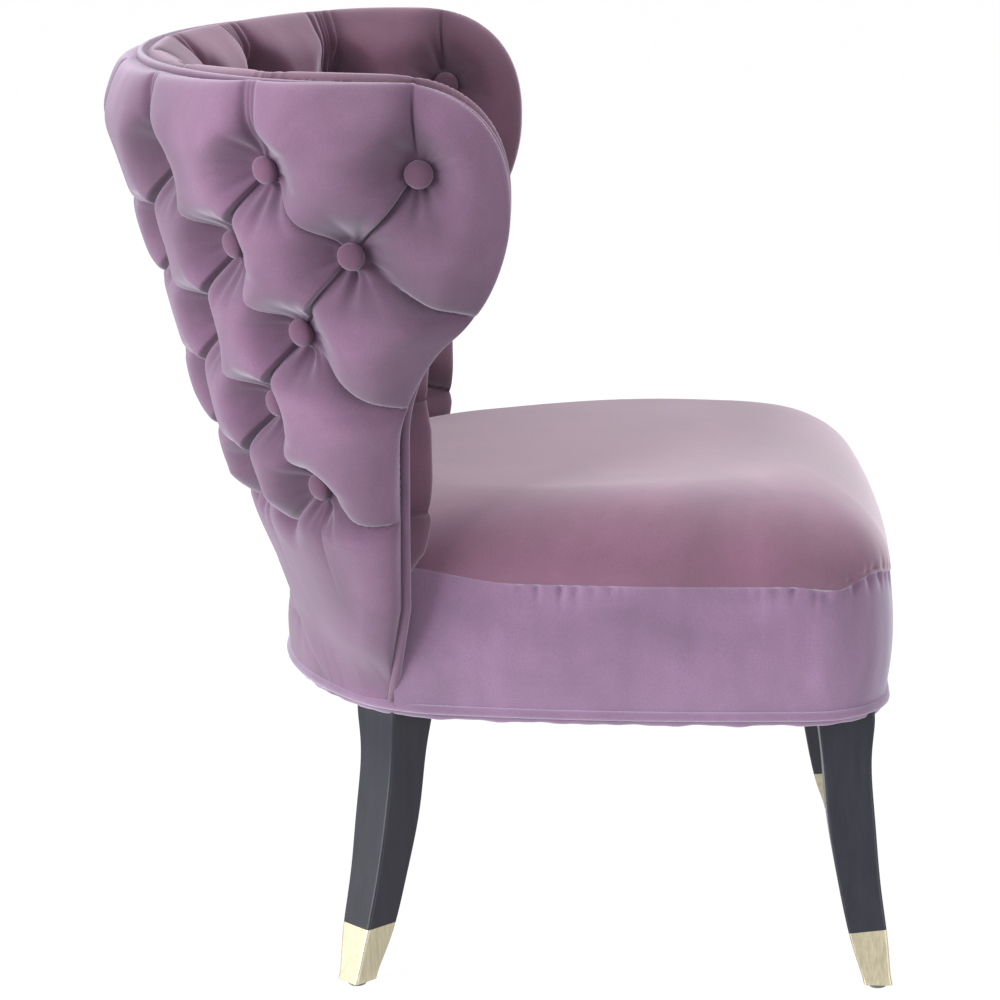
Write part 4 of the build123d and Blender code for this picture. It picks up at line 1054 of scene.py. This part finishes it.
def rim_piping():
    """Piping in the groove between the two pads and down both front edges."""
    z = edge_heights(150, 60)
    rim = np.linspace(RIM_COLUMN, -RIM_COLUMN, 300)[1:-1]
    columns = np.concatenate([edge_column(z), rim, -edge_column(z)[::-1]])
    heights = np.concatenate([z, np.full_like(rim, RIM_Z), z[::-1]])
    path = back_point(columns, heights)
    out = unit(np.cross(back_axes(columns, heights)[0], np.gradient(path, axis=0)))
    path = path + out * from_table(heights, RIM_WELT_PROUD)[:, None]
    make_piece("rim_piping", *tube(path, WELT_RADIUS), VELVET, "rim_welt")


# Seat


def corner_share(plan, reach=CORNER_REACH):
    """How near a point of the plan lies to a front corner."""
    place = np.abs(plan) - (SEAT_FRONT_HALF - CORNER_INSET, -SEAT_FRONT_Y - CORNER_INSET)
    away = norm(place, axis=1)
    return np.exp(-(away / reach) ** 2) * (plan[:, 1] < 0)


def seam_height(plan):
    """Height of the seam: it dips before the front corners, climbs round them and climbs behind."""
    side = np.abs(plan[:, 0]) > SEAT_FRONT_HALF / 2
    dip = SEAM_DIP * np.exp(-((plan[:, 1] - SEAM_DIP_Y) / SEAM_TURN) ** 2) * side
    climb = SEAM_CLIMB * corner_share(plan, SEAM_TURN)
    return SEAM_Z + climb - dip + SEAM_REAR_CLIMB * smooth(plan[:, 1], *SEAM_REAR_Y)


def ripple(length, seed):
    """Slow uneven wave along a seam, between about -1 and 1."""
    draw = np.random.default_rng(seed)
    total = np.zeros_like(length)
    for _ in range(6):
        total += np.sin(length * 2 * math.pi / draw.uniform(*RIPPLE_LENGTH) + draw.uniform(0, 2 * math.pi))
    return total / 3.0


def gathering(plan):
    """How tightly the border is gathered along the seam."""
    tight = GATHER_LEAST + GATHER_CORNERS * corner_share(plan)
    for y, reach, strength in GATHER_SPOTS:
        tight = tight + strength * np.exp(-((plan[:, 1] - y) / reach) ** 2)
    return tight


def gathers(plan, below, seed):
    """Depth of the small puckers at a seam; below is the distance from it."""
    length = lengths(plan)
    tight = gathering(plan)
    draw = np.random.default_rng(seed)
    total = np.zeros((len(below), len(plan)))
    place = draw.uniform(*GATHER_START)
    while place < length[-1]:
        deep = draw.uniform(*GATHER_DEPTH) * np.interp(place, length, tight)
        reach = draw.uniform(*GATHER_REACH)
        wide = draw.uniform(*GATHER_WIDTH)
        near = np.abs(length - place) < 4 * wide
        channel = np.exp(-((length[near] - place) / wide) ** 2)
        swell = below / reach * np.exp(1 - below / reach)
        total[:, near] += deep * channel[None] * swell[:, None]
        place += draw.uniform(*GATHER_STEP)
    return total


def seam_ridge(away):
    """Fine raised edge where the two panels are sewn together."""
    return SEAM_RIDGE * np.exp(-(away / SEAM_WIDTH) ** 2)


def crown_height(flat):
    """Height of the crown over the seam: lower behind and at the sides."""
    height = CROWN_HEIGHT - CROWN_REAR_DROP * smooth(flat[:, 1], *CROWN_REAR_DROP_Y)
    return height - CROWN_DOME * (flat[:, 0] / SEAT_HALF) ** 2


def seat_crown():
    """Crowned panel, in rings from the seam up over the shoulder and in to the middle."""
    count = 900
    plan = seat_plan(count)
    centre = np.array((0.0, CROWN_CENTRE_Y))
    out = unit(plan - centre)
    seam = seam_height(plan)
    turn = np.linspace(0.0, 1.0, 60) ** 1.3 * math.pi / 2
    level = CROWN_FLAT + (CROWN_SIDE_FLAT - CROWN_FLAT) * out[:, 0] ** 2
    rings = [(level + (1 - level) * math.cos(t), math.sin(t)) for t in turn]
    rings += [(level * size, 1.0) for size in np.linspace(1.0, 0.0, 26)[1:-1]]
    lifts = np.array([lift for _, lift in rings])
    folds = CROWN_GATHER * gathers(plan, lifts * CROWN_HEIGHT, 5) * corner_share(plan)
    points = []
    for (size, lift), fold in zip(rings, folds):
        inset = fold - seam_ridge(lift * CROWN_HEIGHT) - SEAM_PROUD * size
        flat = centre + (plan - centre) * size[:, None] - out * inset[:, None]
        shoulder = SEAM_Z + crown_height(flat) - CROWN_SWELL
        z = seam + (shoulder - seam) * lift + CROWN_SWELL * (1 - size ** 2)
        points.append(np.column_stack([flat, z]))
    points.append([[*centre, SEAM_Z + crown_height(centre[None])[0]]])
    faces = [list(quad) for quad in strip_faces(len(rings), count, around=True)]
    last = (len(rings) - 1) * count
    faces += [[last + i, last + (i + 1) % count, len(rings) * count] for i in range(count)]
    points = np.concatenate(points)
    piece = make_piece("seat_crown", points, faces, SEAT_VELVET, "seat_top_cover", "seat_foam")


def seat_band():
    """Border round the front and the sides, from the bottom piping up to the seam."""
    count = 1100
    half = seat_half_plan(rear=False)
    plan = resampled(np.concatenate([mirrored(half)[:-1], half]), count)
    out = outward(plan)
    length = np.arange(count) * norm(plan[1] - plan[0])
    seam = seam_height(plan)
    shares = 1 - np.linspace(1.0, 0.0, 56) ** 1.6
    below = (1 - shares) * (SEAM_Z - WELT_Z)
    points = []
    for share, under, fold in zip(shares, below, gathers(plan, below, 8)):
        bulge = BAND_BULGE * math.sin(1.02 * math.pi * share ** 0.9) - BAND_TUCK
        bulge += (SEAM_PROUD + BAND_TUCK) * share ** 2
        wave = PANEL_WAVE * ripple(length, 9) * math.sin(math.pi * share)
        away = bulge + seam_ridge(under) - fold + wave
        points.append(moved_out(plan, out, away, WELT_Z + (seam - WELT_Z) * share))
    faces = strip_faces(len(shares), count)
    piece = make_piece("seat_band", np.concatenate(points), faces, BAND_VELVET, "seat_border")


def rear_panel():
    """Panel over the rear rail; its top edge lies behind the outer pad."""
    count = 160
    half = seat_half_plan()
    arc = half[(half[:, 0] < APRON_HALF) & (half[:, 1] > 0)]
    plan = resampled(np.concatenate([arc, mirrored(arc)[1:]]), count)
    out = outward(plan)
    shares = np.linspace(0.0, 1.0, 30)
    points = []
    for share in shares:
        bulge = APRON_BULGE * math.sin(math.pi * min(1.0, share * 1.2))
        bulge -= APRON_TUCK * smooth(share, *APRON_TUCK_SHARES)
        wave = PANEL_WAVE * ripple(np.arange(count) * 3.0, 21) * share
        points.append(moved_out(plan, out, bulge + wave, WELT_Z + (APRON_TOP_Z - WELT_Z) * share))
    make_piece("rear_panel", np.concatenate(points), strip_faces(len(shares), count), VELVET, "rear_apron")


def bottom_piping():
    """Piping round the bottom edge, with the cloth below it turned in under the seat."""
    count = 560
    plan = seat_plan(count)
    out = outward(plan, closed=True)
    points, faces = tube(moved_out(plan, out, -WELT_INSET, WELT_Z), WELT_RADIUS, closed=True)
    wave = FLANGE_WAVE * ripple(norm(plan[1] - plan[0]) * np.arange(count), 31)
    flange = []
    for inset, drop in FLANGE:
        low = WELT_Z - drop - wave * (drop > FLANGE_FREE_DROP)
        flange.append(moved_out(plan, out, FLANGE_SIDE_WAVE * wave - inset, low))
    faces = np.concatenate([faces, len(points) + strip_faces(len(flange), count, around=True)])
    make_piece("bottom_piping", np.concatenate([points] + flange), faces, BAND_VELVET, "bottom_welt")


# CAD pieces that stay


def dress(material, *nodes):
    for node in nodes:
        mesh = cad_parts[node].data
        mesh.materials.clear()
        mesh.materials.append(material)


# Stage


def light(name, size, power, place, target):
    data = bpy.data.lights.new(name, "AREA")
    data.size = size
    data.energy = power
    lamp = add_object(name, data)
    lamp.location = place
    lamp.rotation_euler = (Vector(target) - Vector(place)).to_track_quat("-Z", "Y").to_euler()


def studio_world():
    """Soft even light, white where it is seen directly."""
    graph = Graph(bpy.data.worlds.new("studio"), "Background")
    graph.set(color=WHITE, strength=0.32)
    graph.show(graph.add("ShaderNodeBackground", color=WHITE, strength=1.0), "World Output")
    bpy.context.scene.world = graph.holder


def studio_floor():
    """Pale floor that keeps the shadow of the chair and fades into the white world."""
    reach = 14.0
    mesh = bpy.data.meshes.new("floor")
    mesh.from_pydata([(-reach, -reach, 0), (reach, -reach, 0), (reach, reach, 0), (-reach, reach, 0)], [],
                     [(0, 1, 2, 3)])
    floor = add_object("floor", mesh)
    graph = new_graph("floor")
    graph.set(base_color=(0.60, 0.60, 0.60, 1.0), roughness=0.9, specular_ior_level=0.1)
    graph.show(graph.add("ShaderNodeEmission", color=WHITE, strength=1.1), "Material Output", most=0.88)
    mesh.materials.append(graph.holder)


def camera(azimuth, elevation, distance, target_z, lens):
    """Camera of the photograph, turned in degrees about a point on the chair's axis."""
    turn = math.radians(azimuth)
    tilt = math.radians(elevation)
    back = Vector((math.sin(turn) * math.cos(tilt), -math.cos(turn) * math.cos(tilt), math.sin(tilt)))
    data = bpy.data.cameras.new("camera")
    data.sensor_width = 36.0
    data.lens = lens
    data.clip_end = 100.0
    eye = add_object("camera", data)
    eye.location = (Vector((0.0, 0.0, target_z)) + back * distance) * MM
    eye.rotation_euler = (-back).to_track_quat("-Z", "Y").to_euler()
    bpy.context.scene.camera = eye


OuterPad().build("outer_tufting", "outer_back_pad")
InnerPad().build("inner_tufting", "inner_back_pad")
button_piece("outer_covered_buttons", 1, SHADED_BUTTON_VELVET, "outer_buttons")
button_piece("inner_covered_buttons", -1, SHADED_INNER_BUTTON_VELVET, "inner_buttons")
rim_piping()
seat_crown()
seat_band()
rear_panel()
bottom_piping()

LEGS = [f"{end}_{side}" for end in ("front", "rear") for side in ("left", "right")]
dress(LACQUER, *(f"{leg}_leg" for leg in LEGS))
dress(BRASS, *(f"{leg}_cap" for leg in LEGS))
dress(FRAME_WOOD, *(f"{place}_seat_rail" for place in ("front", "left", "right", "rear")), "corner_blocks")
dress(PLYWOOD, "back_shell")
dress(STEEL, "seat_springs", "spring_clips", "leg_bolts", "back_brackets", "bracket_screws")
dress(WOVEN, "spring_cover")
dress(DARK_CLOTH, "dust_cover")
dress(GLIDE_PLASTIC, "glides")

studio_world()
studio_floor()
light("key", 2.2, 140.0, (-1.8, 2.8, 1.1), (0.0, 0.0, 0.42))
light("top", 3.0, 108.0, (1.2, -0.4, 3.2), (0.0, 0.0, 0.45))
light("fill", 2.2, 46.0, (-2.2, -2.4, 0.9), (0.0, 0.0, 0.35))
camera(azimuth=271.2, elevation=13.3, distance=3200.0, target_z=380.6, lens=124.2)
bpy.context.scene.view_settings.view_transform = "Standard"
